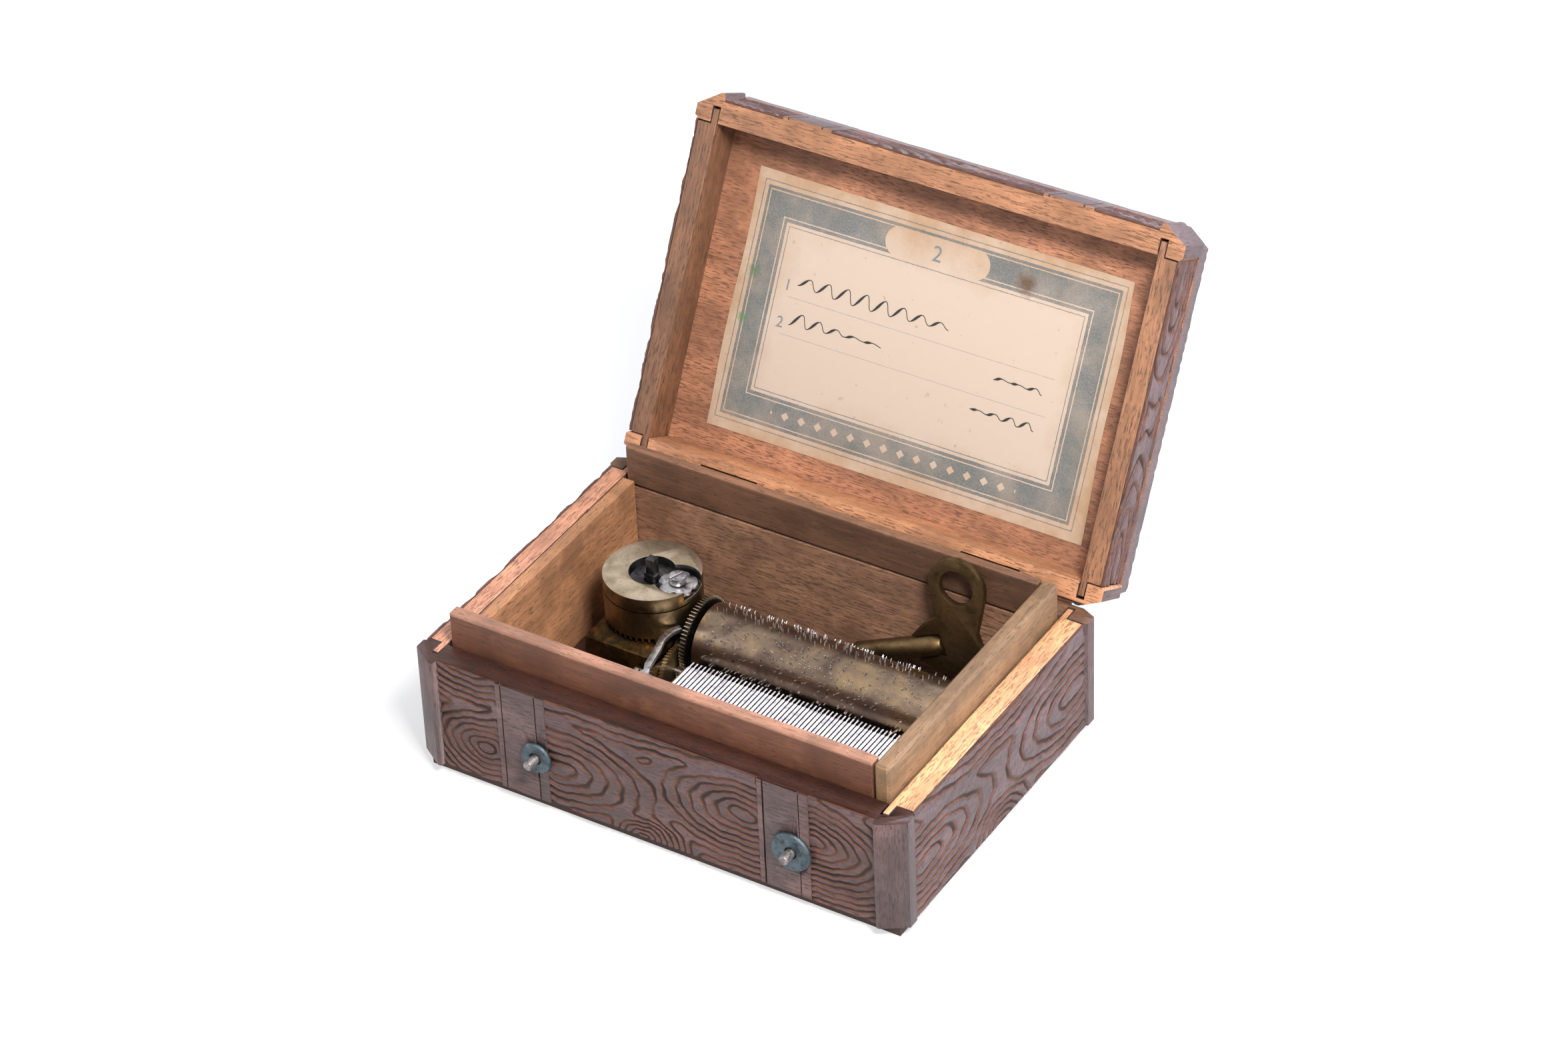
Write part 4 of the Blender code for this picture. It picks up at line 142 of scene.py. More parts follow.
class LabelSizes(PropertyGroup):
    """Cartouche, curl and colours of the paper label."""
    pill_length: distance("Cartouche length", "Half the length of the cartouche", 13.0 * MM)
    pill_height: distance("Cartouche height", "Half the height of the cartouche", 3.3 * MM)
    curl: distance("Curl", "How far the paper lifts at its edges", 0.12 * MM)
    paper: colour("Paper", "Cream paper", (0.560, 0.455, 0.375))
    ink: colour("Ink", "Blue-grey printing ink", (0.100, 0.125, 0.132))


class CylinderSizes(PropertyGroup):
    """The pinned cylinder."""
    beats: IntProperty(name="Beats", description="Moments in one turn at which pins can stand",
                       default=96, min=12, max=400)
    share: FloatProperty(name="Filled share", description="Share of the moments that hold a pin",
                         default=0.105, min=0.0, max=1.0, subtype="FACTOR")
    pin_radius: distance("Pin radius", "Radius of a pin", 0.15 * MM)
    pin_height: distance("Pin height", "How far the pins stand out", 0.62 * MM)


class StageSettings(PropertyGroup):
    """Camera and light."""
    lens: FloatProperty(name="Lens", description="Focal length in millimetres", default=118.88,
                        min=10.0, unit="CAMERA")
    key_power: FloatProperty(name="Key light", description="Power of the main light",
                             default=11.0, min=0.0, unit="POWER")
    fill_power: FloatProperty(name="Fill light", description="Power of the fill light",
                              default=1.6, min=0.0, unit="POWER")


class MusicalBoxSettings(PropertyGroup):
    """All settings of the musical box."""
    carving: group("Carving", "Sizes of the carved fields", CarvingSizes)
    wood: group("Wood", "Colours of the wood", WoodColours)
    metal: group("Metal", "Colours of the metals", MetalColours)
    label: group("Label", "Cartouche and colours of the label", LabelSizes)
    cylinder: group("Cylinder", "Pins of the cylinder", CylinderSizes)
    stage: group("Stage", "Camera and light", StageSettings)


# Shader building

class Value:
    """Output of a shader node; arithmetic on it adds math nodes."""

    def __init__(self, tree, socket):
        self.tree = tree
        self.socket = socket

    def __add__(self, other):
        return calc("ADD", self, other)

    def __sub__(self, other):
        return calc("SUBTRACT", self, other)

    def __rsub__(self, other):
        return calc("SUBTRACT", other, self)

    def __mul__(self, other):
        return calc("MULTIPLY", self, other)

    def __lt__(self, other):
        return calc("LESS_THAN", self, other)

    def __gt__(self, other):
        return calc("GREATER_THAN", self, other)

    def __abs__(self):
        return calc("ABSOLUTE", self)

    def into(self, shader, name):
        self.tree.links.new(self.socket, shader.inputs[name])


def configure(thing, **values):
    """The same thing with some of its settings changed."""
    for name, value in values.items():
        setattr(thing, name, value)
    return thing


def new_material(name, roughness=0.5, metallic=0.0):
    material = bpy.data.materials.new(name)
    material.use_nodes = True
    shader = material.node_tree.nodes["Principled BSDF"]
    shader.inputs["Roughness"].default_value = roughness
    shader.inputs["Metallic"].default_value = metallic
    return material, material.node_tree, shader


def add(tree, kind, values=None, **settings):
    """A shader node with its settings, and its inputs set or linked."""
    node = configure(tree.nodes.new(kind), **settings)
    for key, value in (values or {}).items():
        if isinstance(value, Value):
            tree.links.new(value.socket, node.inputs[key])
        else:
            node.inputs[key].default_value = value
    return node


def result(tree, kind, values=None, output=0, **settings):
    """One output of a new shader node."""
    return Value(tree, add(tree, kind, values, **settings).outputs[output])


def calc(operation, first, second=0.0, clamp=False):
    tree = (first if isinstance(first, Value) else second).tree
    return result(tree, "ShaderNodeMath", {0: first, 1: second}, operation=operation,
                  use_clamp=clamp)


def most(first, *others):
    """Greatest of several values."""
    for other in others:
        first = calc("MAXIMUM", first, other)
    return first


def distance_to(across, up):
    """Distance from a point, from the distances along the two axes."""
    return calc("SQRT", across * across + up * up)


def as_rgba(value):
    return value if isinstance(value, Value) else (*tuple(value)[:3], 1.0)


def blend(factor, first, second):
    """First colour where the factor is 0 and the second where it is 1."""
    values = {0: factor, 6: as_rgba(first), 7: as_rgba(second)}
    return result(factor.tree, "ShaderNodeMix", values, 2, data_type="RGBA", clamp_factor=True)


def ramp(factor, *stops):
    """Colour ramp; each stop is a position and a grey value or a colour."""
    node = add(factor.tree, "ShaderNodeValToRGB", {"Fac": factor})
    elements = node.color_ramp.elements
    while len(elements) < len(stops):
        elements.new(0.5)
    for element, (position, value) in zip(elements, stops):
        element.position = position
        element.color = as_rgba((value,) * 3 if isinstance(value, (int, float)) else value)
    return Value(factor.tree, node.outputs["Color"])


def noise(place, scale, detail=3.0, rough=0.55, distort=0.0):
    values = {"Vector": place, "Scale": scale, "Detail": detail, "Roughness": rough,
              "Distortion": distort}
    return result(place.tree, "ShaderNodeTexNoise", values, "Fac")


def mapped(place, **values):
    return result(place.tree, "ShaderNodeMapping", {"Vector": place, **values})


def object_place(tree, lid=False):
    """Object coordinates in millimetres; those of the lid are turned as if it were closed."""
    place = result(tree, "ShaderNodeTexCoord", output="Object")
    scale = (1.0 / MM,) * 3
    if not lid:
        return mapped(place, Scale=scale)
    return mapped(mapped(place, Location=tuple(-HINGE)), Scale=scale,
                  Rotation=(OPEN_ANGLE, 0.0, 0.0), Location=tuple(HINGE / MM))


def stretched(place, grain, amount):
    """Place whose patterns are drawn out along the grain."""
    scale = [1.0, 1.0, 1.0]
    scale["XYZ".index(grain)] = 1.0 / amount
    return mapped(place, Scale=tuple(scale))


def parts(place):
    """The three coordinates of a place."""
    split = add(place.tree, "ShaderNodeSeparateXYZ", {0: place})
    return [Value(place.tree, socket) for socket in split.outputs]


def bump(shader, height, strength, depth):
    values = {"Height": height, "Strength": strength, "Distance": depth}
    result(height.tree, "ShaderNodeBump", values).into(shader, "Normal")


def scaled(shade, factor):
    return tuple(min(1.0, channel * factor) for channel in shade)


def grain_colour(place, grain, base, pore_share=0.5, figure=1.0):
    """Colour and height of bare or stained wood with fibres, figure and open pores."""
    fibres = noise(stretched(place, grain, 22.0), 2.4, 5.0, 0.7)
    broad = noise(stretched(place, grain, 6.0), 0.16 * figure, 3.0, 0.6, 0.6)
    pores = noise(stretched(place, grain, 9.0), 3.6, 2.0, 0.6)
    patches = ramp(noise(place, 0.06, 3.0, 0.6), (0.38, 0.6), (0.55, 0.0))
    rubbed = ramp(noise(place, 0.11, 4.0, 0.7), (0.55, 0.0), (0.75, 0.5))
    body = ramp(fibres * 0.5 + broad * 0.5, (0.34, scaled(base, 0.5)), (0.5, base),
                (0.66, scaled(base, 1.5)))
    low = 0.68 - 0.16 * pore_share
    pore_mask = ramp(pores, (low, 0.0), (low + 0.05, 1.0))
    body = blend(pore_mask * 0.8, body, scaled(base, 0.28))
    body = blend(patches, body, scaled(base, 0.5))
    body = blend(rubbed, body, scaled(base, 1.7))
    return body, fibres * 0.5 - pore_mask


def beyond(place, axis, limit, above):
    """Mask of the places beyond a limit along an axis, in millimetres."""
    value = parts(place)["XYZ".index(axis)]
    return value > limit if above else value < limit


def wood(name, base, grain, lid=False, roughness=0.62, pore_share=0.5, edges=(), figure=1.0):
    """Wood in one tone, with further tones where the edge masks say.

    Each edge is (tests, colour, grain), and each test is (axis, limit, above).
    """
    material, tree, shader = new_material(name, roughness)
    place = object_place(tree, lid)
    body, height = grain_colour(place, grain, base, pore_share, figure)
    for tests, shade, edge_grain in edges:
        other = grain_colour(place, edge_grain, shade, pore_share)[0]
        body = blend(most(*(beyond(place, *test) for test in tests)), body, other)
    body.into(shader, "Base Color")
    ramp(height, (0.0, roughness), (1.0, roughness - 0.12)).into(shader, "Roughness")
    bump(shader, height, 0.45, 0.12 * MM)
    return material


def carved_material(name, tones, grain, lid=False):
    """Carved wood: the depth of the cut is read from the mesh's carving attribute."""
    material, tree, shader = new_material(name, 0.5)
    place = object_place(tree, lid)
    depth = result(tree, "ShaderNodeAttribute", output="Fac", attribute_name="carving")
    ridge, height = grain_colour(place, grain, tones.ridge, 0.8)
    wear = noise(place, 0.35, 4.0, 0.65)
    fine = noise(stretched(place, grain, 5.0), 2.0, 4.0, 0.65)
    warm = blend(ramp(fine, (0.35, 0.0), (0.65, 1.0)), scaled(tones.shoulder, 0.6),
                 scaled(tones.shoulder, 1.5))
    nudged = depth + (wear - 0.5) * 0.35
    body = blend(ramp(nudged, (0.26, 0.0), (0.44, 1.0)), ridge, warm)
    # Painted shade: the deeper cuts blend into the very dark groove colour.
    body = blend(ramp(nudged, (0.46, 0.0), (0.80, 0.95)), body, tones.groove)
    body.into(shader, "Base Color")
    ramp(nudged, (0.0, 0.30), (0.35, 0.45), (1.0, 0.70)).into(shader, "Roughness")
    bump(shader, height * 0.8 + fine, 0.5, 0.1 * MM)
    return material


def metal(name, base, roughness, tarnish, spots=0.3, scale=0.25, stretch="X", shine=1.0,
          bright=None):
    """Old metal with tarnish in clouds, small spots and fine scratches."""
    material, tree, shader = new_material(name, roughness, shine)
    place = object_place(tree)
    cloud = noise(place, scale, 5.0, 0.62, 0.5)
    fleck = noise(place, scale * 9.0, 3.0, 0.6)
    lines = noise(stretched(place, stretch, 14.0), 6.0, 2.0, 0.5)
    body = ramp(cloud, (0.34, tarnish), (0.49, base), (0.66, bright or scaled(base, 1.35)))
    fleck_mask = ramp(fleck, (0.66 - 0.1 * spots, 0.0), (0.72, 1.0))
    body = blend(fleck_mask * (spots * 2.0), body, scaled(tarnish, 0.6))
    body.into(shader, "Base Color")
    grime = cloud * -0.35 + lines * 0.25
    calc("ADD", grime, roughness + 0.12, clamp=True).into(shader, "Roughness")
    bump(shader, lines + fleck, 0.25, 0.03 * MM)
    return material


# Mesh building

def start():
    """Object mode with nothing selected."""
    if bpy.context.object and bpy.context.object.mode != "OBJECT":
        bpy.ops.object.mode_set(mode="OBJECT")
    bpy.ops.object.select_all(action="DESELECT")


def activate(thing):
    start()
    thing.select_set(True)
    bpy.context.view_layer.objects.active = thing


def modify(thing, kind, **values):
    """Put a modifier on the active object and apply it."""
    modifier = configure(thing.modifiers.new("step", kind), **values)
    bpy.ops.object.modifier_apply(modifier=modifier.name)


def edit(select="SELECT"):
    """Edit mode with all or nothing selected."""
    bpy.ops.object.mode_set(mode="EDIT")
    bpy.ops.mesh.select_all(action=select)


def leave_edit():
    bpy.ops.object.mode_set(mode="OBJECT")


def new_object(name, data):
    thing = bpy.data.objects.new(name, data)
    bpy.context.scene.collection.objects.link(thing)
    return thing


def settle(thing, name, material, body, replaces=(), lid=False, angle=None):
    """Name, colour and seat a finished piece, with its place kept in its mesh."""
    activate(thing)
    bpy.ops.object.transform_apply(location=True, rotation=True, scale=True)
    if lid:
        thing.data.transform(LID_TURN)
    if angle is not None:
        bpy.ops.object.shade_smooth_by_angle(angle=math.radians(angle))
    thing.name = name
    thing.data.name = name
    thing.data.materials.clear()
    thing.data.materials.append(material)
    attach(thing, body)
    if replaces:
        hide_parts(*replaces)
    return thing


def dress(node, material):
    """Give a node of the frame another material."""
    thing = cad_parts[node]
    thing.data.materials.clear()
    thing.data.materials.append(material)


def paint_faces(thing, materials, choose):
    """Add materials, and give each face the one whose number it is told."""
    for material in materials:
        thing.data.materials.append(material)
    for face in thing.data.polygons:
        face.material_index = choose(face)


def as_mesh(thing):
    """A curve or a text made a mesh."""
    activate(thing)
    bpy.ops.object.convert(target="MESH")
    return bpy.context.object


def merged_copy(node):
    """Copy of a node with its faces welded and its flat faces joined."""
    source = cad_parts[node]
    start()
    copy = source.copy()
    copy.data = source.data.copy()
    for key in list(copy.keys()):
        del copy[key]
    copy.parent = None
    bpy.context.scene.collection.objects.link(copy)
    copy.matrix_world = Matrix.Identity(4)
    activate(copy)
    edit()
    bpy.ops.mesh.remove_doubles(threshold=0.002 * MM)
    bpy.ops.mesh.dissolve_limited(angle_limit=math.radians(1.0))
    leave_edit()
    return copy


def round_edges(thing, width, angle, segments):
    """Bevel the edges that are sharper than the angle in degrees."""
    activate(thing)
    modify(thing, "BEVEL", width=width, segments=segments, limit_method="ANGLE",
           angle_limit=math.radians(angle))


def refined(node, material, body, width, angle=32.0, segments=2):
    """Copy of a node with welded faces and rounded edges, which then stands for it."""
    copy = merged_copy(node)
    if width:
        round_edges(copy, width, angle, segments)
    return settle(copy, node + "_finished", material, body, (node,), angle=angle)


def cutting_box(low, high, turn):
    """Box between two corners, used to cut a wall and then removed."""
    bpy.ops.mesh.primitive_cube_add(size=1.0)
    box = bpy.context.object
    box.data.transform(turn @ Matrix.Translation((low + high) / 2)
                       @ Matrix.Diagonal((*(high - low), 1.0)))
    return box


def sunk_wall(node, material, body, boxes):
    """Copy of a wall with its carved fields cut back and its edges rounded."""
    turn = LID_TURN if body == "lid" else Matrix.Identity(4)
    copy = merged_copy(node)
    for low, high in boxes:
        start()
        box = cutting_box(low, high, turn)
        activate(copy)
        modify(copy, "BOOLEAN", operation="DIFFERENCE", solver="EXACT", object=box)
        bpy.data.objects.remove(box)
    round_edges(copy, 0.22 * MM, 34.0, 3)
    return settle(copy, node + "_finished", material, body, (node,), angle=40.0)


# Carving

def carving_depth(across, up, eyes, half_width, seed):
    """Cut depth from 0 to 1 on a grid, from nested rings round the given eyes."""
    wobble = np.random.RandomState(seed).uniform(0.0, 6.28, 8)
    a = across + 0.35 * np.sin(up * 0.55 + wobble[0]) + 0.2 * np.sin(up * 1.7 + wobble[1])
    b = (up + 0.28 * np.sin(across * 0.33 + wobble[2]) + 0.14 * np.sin(across * 0.95 + wobble[3])
         + 0.07 * np.sin(across * 2.3 + wobble[4]))
    total = np.zeros_like(a)
    softness = 0.55
    for eye_across, eye_up, step_across, step_up in eyes:
        gap = np.sqrt(((a - eye_across) / step_across) ** 2 + ((b - eye_up) / step_up) ** 2)
        total += np.exp(-gap / softness)
    field = -softness * np.log(total + 1e-30)
    slope_up, slope_across = np.gradient(field, up[:, 0], across[0, :])
    slope = np.sqrt(slope_up ** 2 + slope_across ** 2) + 0.02
    phase = field - 1.0
    offset = phase - np.round(phase)
    away = np.abs(offset) / slope
    away = np.where(phase < -0.5, 9.0, away)
    width = half_width * (1.0 + 0.3 * np.sin(a * 0.4 + b * 0.7 + wobble[5]))
    width = np.minimum(width * np.where(offset > 0, 1.3, 0.8), 0.48 / slope)
    cut = (0.5 + 0.5 * np.cos(np.pi * np.clip(away / width, 0.0, 1.0))) ** 0.85
    dents = 0.5 + 0.5 * np.sin(a * 1.1 + wobble[6]) * np.sin(b * 2.1 + wobble[7])
    nicks = np.sin(a * 5.1 + 3.0 * np.sin(b * 1.7) + wobble[1]) * np.sin(b * 3.3 + wobble[2])
    strength = 0.8 + 0.2 * np.sin(a * 0.23 + wobble[7]) * np.sin(b * 0.61 + wobble[0])
    return np.clip(cut * strength + (1.0 - cut) * (0.08 * dents + 0.05 * nicks + 0.05), 0.0, 1.0)


def skirted_grid(size, cell):
    """Grid one unit wide with a skirt and a bottom face.

    Gives the object, the share of its width and of its height at each vertex, which
    vertices are on top, and the same shares as two grids.
    """
    start()
    columns, rows = (max(4, int(side / cell)) for side in size)
    bpy.ops.mesh.primitive_grid_add(x_subdivisions=columns, y_subdivisions=rows, size=1.0)
    board = bpy.context.object
    edit("DESELECT")
    bpy.ops.mesh.select_mode(type="EDGE")
    bpy.ops.mesh.select_non_manifold(extend=False)
    bpy.ops.mesh.extrude_edges_move(TRANSFORM_OT_translate={"value": (0.0, 0.0, -1.0)})
    bpy.ops.mesh.edge_face_add()
    leave_edit()
    flat = np.zeros(len(board.data.vertices) * 3)
    board.data.vertices.foreach_get("co", flat)
    across, up, lift = flat.reshape(-1, 3).T
    grids = np.meshgrid(np.linspace(0.0, 1.0, columns + 1), np.linspace(0.0, 1.0, rows + 1))
    return board, across + 0.5, up + 0.5, lift > -0.5, grids


def at_vertices(values, share_x, share_y):
    """Values of a grid at the vertices with these shares of its width and height."""
    rows, columns = values.shape
    return values[np.round(share_y * (rows - 1)).astype(int),
                  np.round(share_x * (columns - 1)).astype(int)]


def form_board(board, places, carving):
    """Move the vertices to their places and note how deep each is cut."""
    board.data.vertices.foreach_set("co", places.ravel())
    layer = board.data.attributes.new("carving", "FLOAT", "POINT")
    layer.data.foreach_set("value", carving)
    board.data.update()


def carved_field(name, sizes, origin, along, size, eyes, seed, material, body):
    """A carved board in one field of a wall.

    origin is the field's lower corner on the wall's outer face, and along is the unit
    direction in that face whose cross product with the vertical points outwards.
    """
    board, share_x, share_y, top, (grid_x, grid_y) = skirted_grid(size, sizes.cell)
    width, height = size
    start_x = (origin - corner_of(along)).dot(along)
    depth = carving_depth((start_x + grid_x * width) / MM, (origin.z + grid_y * height) / MM,
                          eyes, sizes.groove_width / MM, seed)
    cut = at_vertices(depth, share_x, share_y)
    inward = np.where(top, SKIN + cut * sizes.groove_depth, sizes.back)
    places = (np.outer(share_x * width, along) + np.outer(share_y * height, UP)
              - np.outer(inward, along.cross(UP)) + np.array(origin))
    form_board(board, places, np.where(top, cut, 0.6))
    return settle(board, name, material, body, lid=body == "lid", angle=50.0)


def corner_of(along):
    """Corner of the case from which lengths along a face are counted."""
    low = Vector((-LENGTH / 2, -WIDTH / 2, 0.0))
    high = Vector((LENGTH / 2, WIDTH / 2, 0.0))
    return low if along.x + along.y > 0 else high


FRONT_EYES = [
    (17.9, 11.4, 2.2, 1.45), (13.0, 33.0, 4.4, 1.7),
    (36.6, 13.1, 3.9, 2.0), (81.5, 18.5, 3.2, 1.65), (46.0, 38.5, 9.5, 2.0),
    (98.4, 18.2, 2.7, 1.5), (56.5, 2.6, 1.5, 1.0),
]
SIDE_EYES = [
    (10.5, 14.7, 5.4, 2.1), (72.0, 15.9, 5.6, 2.3), (41.4, 1.4, 2.2, 1.5), (40.0, 34.0, 8.0, 2.2),
]
BACK_EYES = [
    (14.0, 18.0, 2.6, 1.5), (38.0, 11.0, 4.2, 1.7), (66.0, 20.0, 4.6, 1.6),
    (88.0, 9.0, 3.0, 1.6), (106.0, 17.0, 2.4, 1.4),
]
TOP_EYES = [
    (28.0, 22.0, 3.6, 2.2), (44.0, 58.0, 4.6, 2.6), (74.0, 26.0, 4.8, 2.4),
    (100.0, 60.0, 3.8, 2.3), (12.0, 64.0, 3.0, 2.0), (110.0, 16.0, 2.6, 1.9),
]


def shifted(eyes, rise, squeeze):
    """The same figure moved up and squeezed, for the lid's lower walls."""
    return [(across, 30.7 + (up + rise) * squeeze, step_across, step_up * max(squeeze, 0.62))
            for across, up, step_across, step_up in eyes]


def long_fields(sizes):
    """Starts and widths of the three fields between the posts and the straps."""
    first = sizes.post
    second = sizes.strap_first + sizes.strap_width
    third = sizes.strap_second + sizes.strap_width
    ends = (sizes.strap_first, sizes.strap_second, LENGTH - sizes.post)
    return [(low, high - low) for low, high in zip((first, second, third), ends)]


def carve_walls(body, settings, field, front, sides, back):
    """Carved fields of the four walls, with the eyes of each; gives the long walls' material.

    field is the foot and the height of the fields.
    """
    foot, height = field
    materials = {grain: carved_material(f"carved_{body}_{grain}", settings.wood, grain,
                                        body == "lid") for grain in "XY"}
    x_axis, y_axis = Vector((1, 0, 0)), Vector((0, 1, 0))

    def carve(name, x, y, along, width, figure, seed):
        carved_field(f"{body}_{name}", settings.carving, Vector((x, y, foot)), along,
                     (width, height), figure, seed, materials["X" if along.x else "Y"], body)

    gap = 0.03 * MM
    for index, (low, width) in enumerate(long_fields(settings.carving)):
        low += gap - LENGTH / 2
        width -= 2 * gap
        carve(f"front_carving_{index + 1}", low, -WIDTH / 2, x_axis, width, front, 11)
        carve(f"back_carving_{index + 1}", -low, WIDTH / 2, -x_axis, width, back, 23)
    end = WIDTH / 2 - SIDE_MARGIN
    carve("right_carving", LENGTH / 2, -end, y_axis, 2 * end, sides, 31)
    carve("left_carving", -LENGTH / 2, end, -y_axis, 2 * end, sides, 47)
    return materials["X"]


def on_lid(x, y, height):
    """Place on the closed lid, from millimetres counted from the case's front left corner."""
    return ((x - CENTRE_X) * MM, (y - CENTRE_Y) * MM, height * MM)


# Operators

class MUSICBOX_OT_walls(Operator):
    """Cut back and finish the walls of the case and the lid"""
    bl_idname = "musicbox.walls"
    bl_label = "Finish Walls"

    def execute(self, context):
        settings = context.scene.musical_box
        tones = settings.wood
        sizes = settings.carving
        post = (LENGTH / 2 - sizes.post) / MM
        posts = [([("X", -post, False), ("X", post, True)], tones.stain, "Z")]
        walls = {"front_panel": (tones.rim_front, "X"), "back_panel": (tones.back_strip, "X"),
                 "left_panel": (tones.rim_left, "Y"), "right_panel": (tones.rim_right, "Y")}
        for node, (shade, grain) in walls.items():
            edges = (posts if grain == "X" else []) + [([("Z", CASE_RIM, True)], shade, grain)]
            material = wood(node + "_wood", tones.stain, grain, roughness=0.5, pore_share=0.9,
                            edges=edges)
            sunk_wall(node, material, "case", self.boxes(sizes, node, *CASE_CUT))
        # The last number in each entry scales the lid_rim tone for that wall's rim and inner face.
        # It is painted light and shade: lighter on the front and back walls, darker on the left
        # and right walls.
        inner = {"lid_front_wall": ("Y", -36.3, True, "X", 1.1),
                 "lid_back_wall": ("Y", 36.6, False, "X", 1.6),
                 "lid_left_wall": ("X", -55.2, True, "Y", 0.62),
                 "lid_right_wall": ("X", 55.2, False, "Y", 0.8)}
        for node, (axis, limit, above, grain, share) in inner.items():
            tests = [(axis, limit, above), ("Z", LID_RIM, False)]
            edges = (posts if grain == "X" else []) + [
                (tests, scaled(tones.lid_rim, share), grain)]
            material = wood(node + "_wood", tones.stain, grain, lid=True, roughness=0.52,
                            pore_share=0.8, edges=edges)
            sunk_wall(node, material, "lid", self.boxes(sizes, node, *LID_CUT))
        return {"FINISHED"}

    def boxes(self, sizes, node, low, high):
        """Boxes that sink the carved fields and deepen the grooves beside the straps."""
        behind, around = 0.05 * MM, 0.23 * MM
        line_half, line_depth = 0.2 * MM, 0.55 * MM
        depth = sizes.back + behind
        if "left" in node or "right" in node:
            side = -1.0 if "left" in node else 1.0
            near, far = sorted((side * (LENGTH / 2 - depth), side * LENGTH / 2 * 1.02))
            end = WIDTH / 2 - SIDE_MARGIN + around
            return [(Vector((near, -end, low)), Vector((far, end, high)))]
        side = -1.0 if "front" in node else 1.0
        spans = [(first, first + width, depth) for first, width in long_fields(sizes)]
        for strap in (sizes.strap_first, sizes.strap_second):
            for line in (strap + sizes.bead, strap + sizes.strap_width - sizes.broad_bead):
                spans.append((line - line_half, line + line_half, line_depth))
        found = []
        for first, last, cut in spans:
            ends = sorted((side * (LENGTH / 2 - first), side * (LENGTH / 2 - last)))
            near, far = sorted((side * (WIDTH / 2 - cut), side * WIDTH / 2 * 1.03))
            found.append((Vector((ends[0], near, low)), Vector((ends[1], far, high))))
        return found


class MUSICBOX_OT_wood(Operator):
    """Finish the plain boards and liners"""
    bl_idname = "musicbox.wood"
    bl_label = "Finish Plain Wood"

    def execute(self, context):
        tones = context.scene.musical_box.wood
        liners = {"front_liner": (tones.front_liner, tones.liner_top, "X"),
                  "right_liner": (tones.right_liner, tones.right_liner, "Y"),
                  "back_strip": (tones.back_strip, scaled(tones.back_strip, 1.5), "X")}
        for node, (base, shade, grain) in liners.items():
            edges = [([("Z", LINER_RIM, True)], shade, grain)]
            dress(node, wood(node + "_wood", base, grain, edges=edges))
        dress("back_liner", wood("back_liner_wood", tones.back_liner, "X", pore_share=0.9))
        dress("left_liner", wood("left_liner_wood", tones.left_liner, "Y", pore_share=0.6))
        # The bottom board takes the very dark front rim tone, which also paints the shade along
        # the bottom of the case.
        dress("bottom_board", wood("bottom_board_wood", tones.rim_front, "X"))
        return {"FINISHED"}


class MUSICBOX_OT_carve_case(Operator):
    """Carve the fields on the four outer walls of the case"""
    bl_idname = "musicbox.carve_case"
    bl_label = "Carve Case"

    def execute(self, context):
        carve_walls("case", context.scene.musical_box, CASE_FIELD, FRONT_EYES, SIDE_EYES,
                    BACK_EYES)
        return {"FINISHED"}


class MUSICBOX_OT_carve_lid(Operator):
    """Carve the lid's walls and its top board"""
    bl_idname = "musicbox.carve_lid"
    bl_label = "Carve Lid"

    def execute(self, context):
        settings = context.scene.musical_box
        material = carve_walls("lid", settings, LID_FIELD, shifted(FRONT_EYES, -10.0, 0.5),
                               shifted(SIDE_EYES, -8.0, 0.55), shifted(BACK_EYES, -8.0, 0.5))
        self.top_board(settings, material)
        return {"FINISHED"}

    def top_board(self, settings, material):
        """Top board with cut corners, a chamfered edge and straps across its carving."""
        sizes = settings.carving
        board, share_x, share_y, top, (grid_x, grid_y) = skirted_grid((LENGTH, WIDTH), 0.34 * MM)
        cut_share, chamfer, chamfer_tone, groove_half = 0.5, 1.6, 0.12, 0.4
        grid_x = grid_x * 2 * CENTRE_X
        depth = carving_depth(grid_x, grid_y * 2 * CENTRE_Y, TOP_EYES,
                              sizes.groove_width / MM, 59)
        for low in (sizes.strap_first, sizes.strap_second):
            strap = (grid_x > low / MM) & (grid_x < (low + sizes.strap_width) / MM)
            depth = np.where(strap, 0.0, depth)
        for low in (sizes.strap_first, sizes.strap_second):
            for line in (0.0, sizes.bead, sizes.strap_width - sizes.broad_bead,
                         sizes.strap_width):
                near = np.abs(grid_x - (low + line) / MM)
                depth = np.maximum(depth, np.clip(1.0 - near / groove_half, 0.0, 1.0) * 0.9)
        cut = at_vertices(depth, share_x, share_y)
        across = (share_x - 0.5) * 2 * CENTRE_X
        back = (share_y - 0.5) * 2 * CENTRE_Y
        reach_x = CENTRE_X - np.abs(across)
        reach_y = CENTRE_Y - np.abs(back)
        facet = np.array([5.1, 3.5])
        corner = reach_x / facet[0] + reach_y / facet[1]
        slope = np.hypot(*(1.0 / facet))
        pull = np.clip(1.0 - corner, 0.0, None) / slope ** 2
        across = across - pull / facet[0] * np.sign(across)
        back = back - pull / facet[1] * np.sign(back)
        rim = np.minimum(np.minimum(reach_x, reach_y), np.maximum(corner - 1.0, 0.0) / slope)
        fall = np.clip(chamfer - rim, 0.0, chamfer) + cut * cut_share
        height = np.where(top, LID_TOP - fall, LID_INSIDE)
        form_board(board, np.stack([across, back, height], axis=1) * MM,
                   np.where(top, np.where(rim < chamfer - 0.2, chamfer_tone, cut), 0.0))
        settle(board, "lid_top_carving", material, "lid", ("lid_top_panel",),
               lid=True, angle=50.0)
        inside = wood("lid_panel_wood", settings.wood.lid_panel, "X", lid=True, pore_share=0.9,
                      figure=1.6)
        paint_faces(board, [inside], lambda face: int(len(face.vertices) > 8))


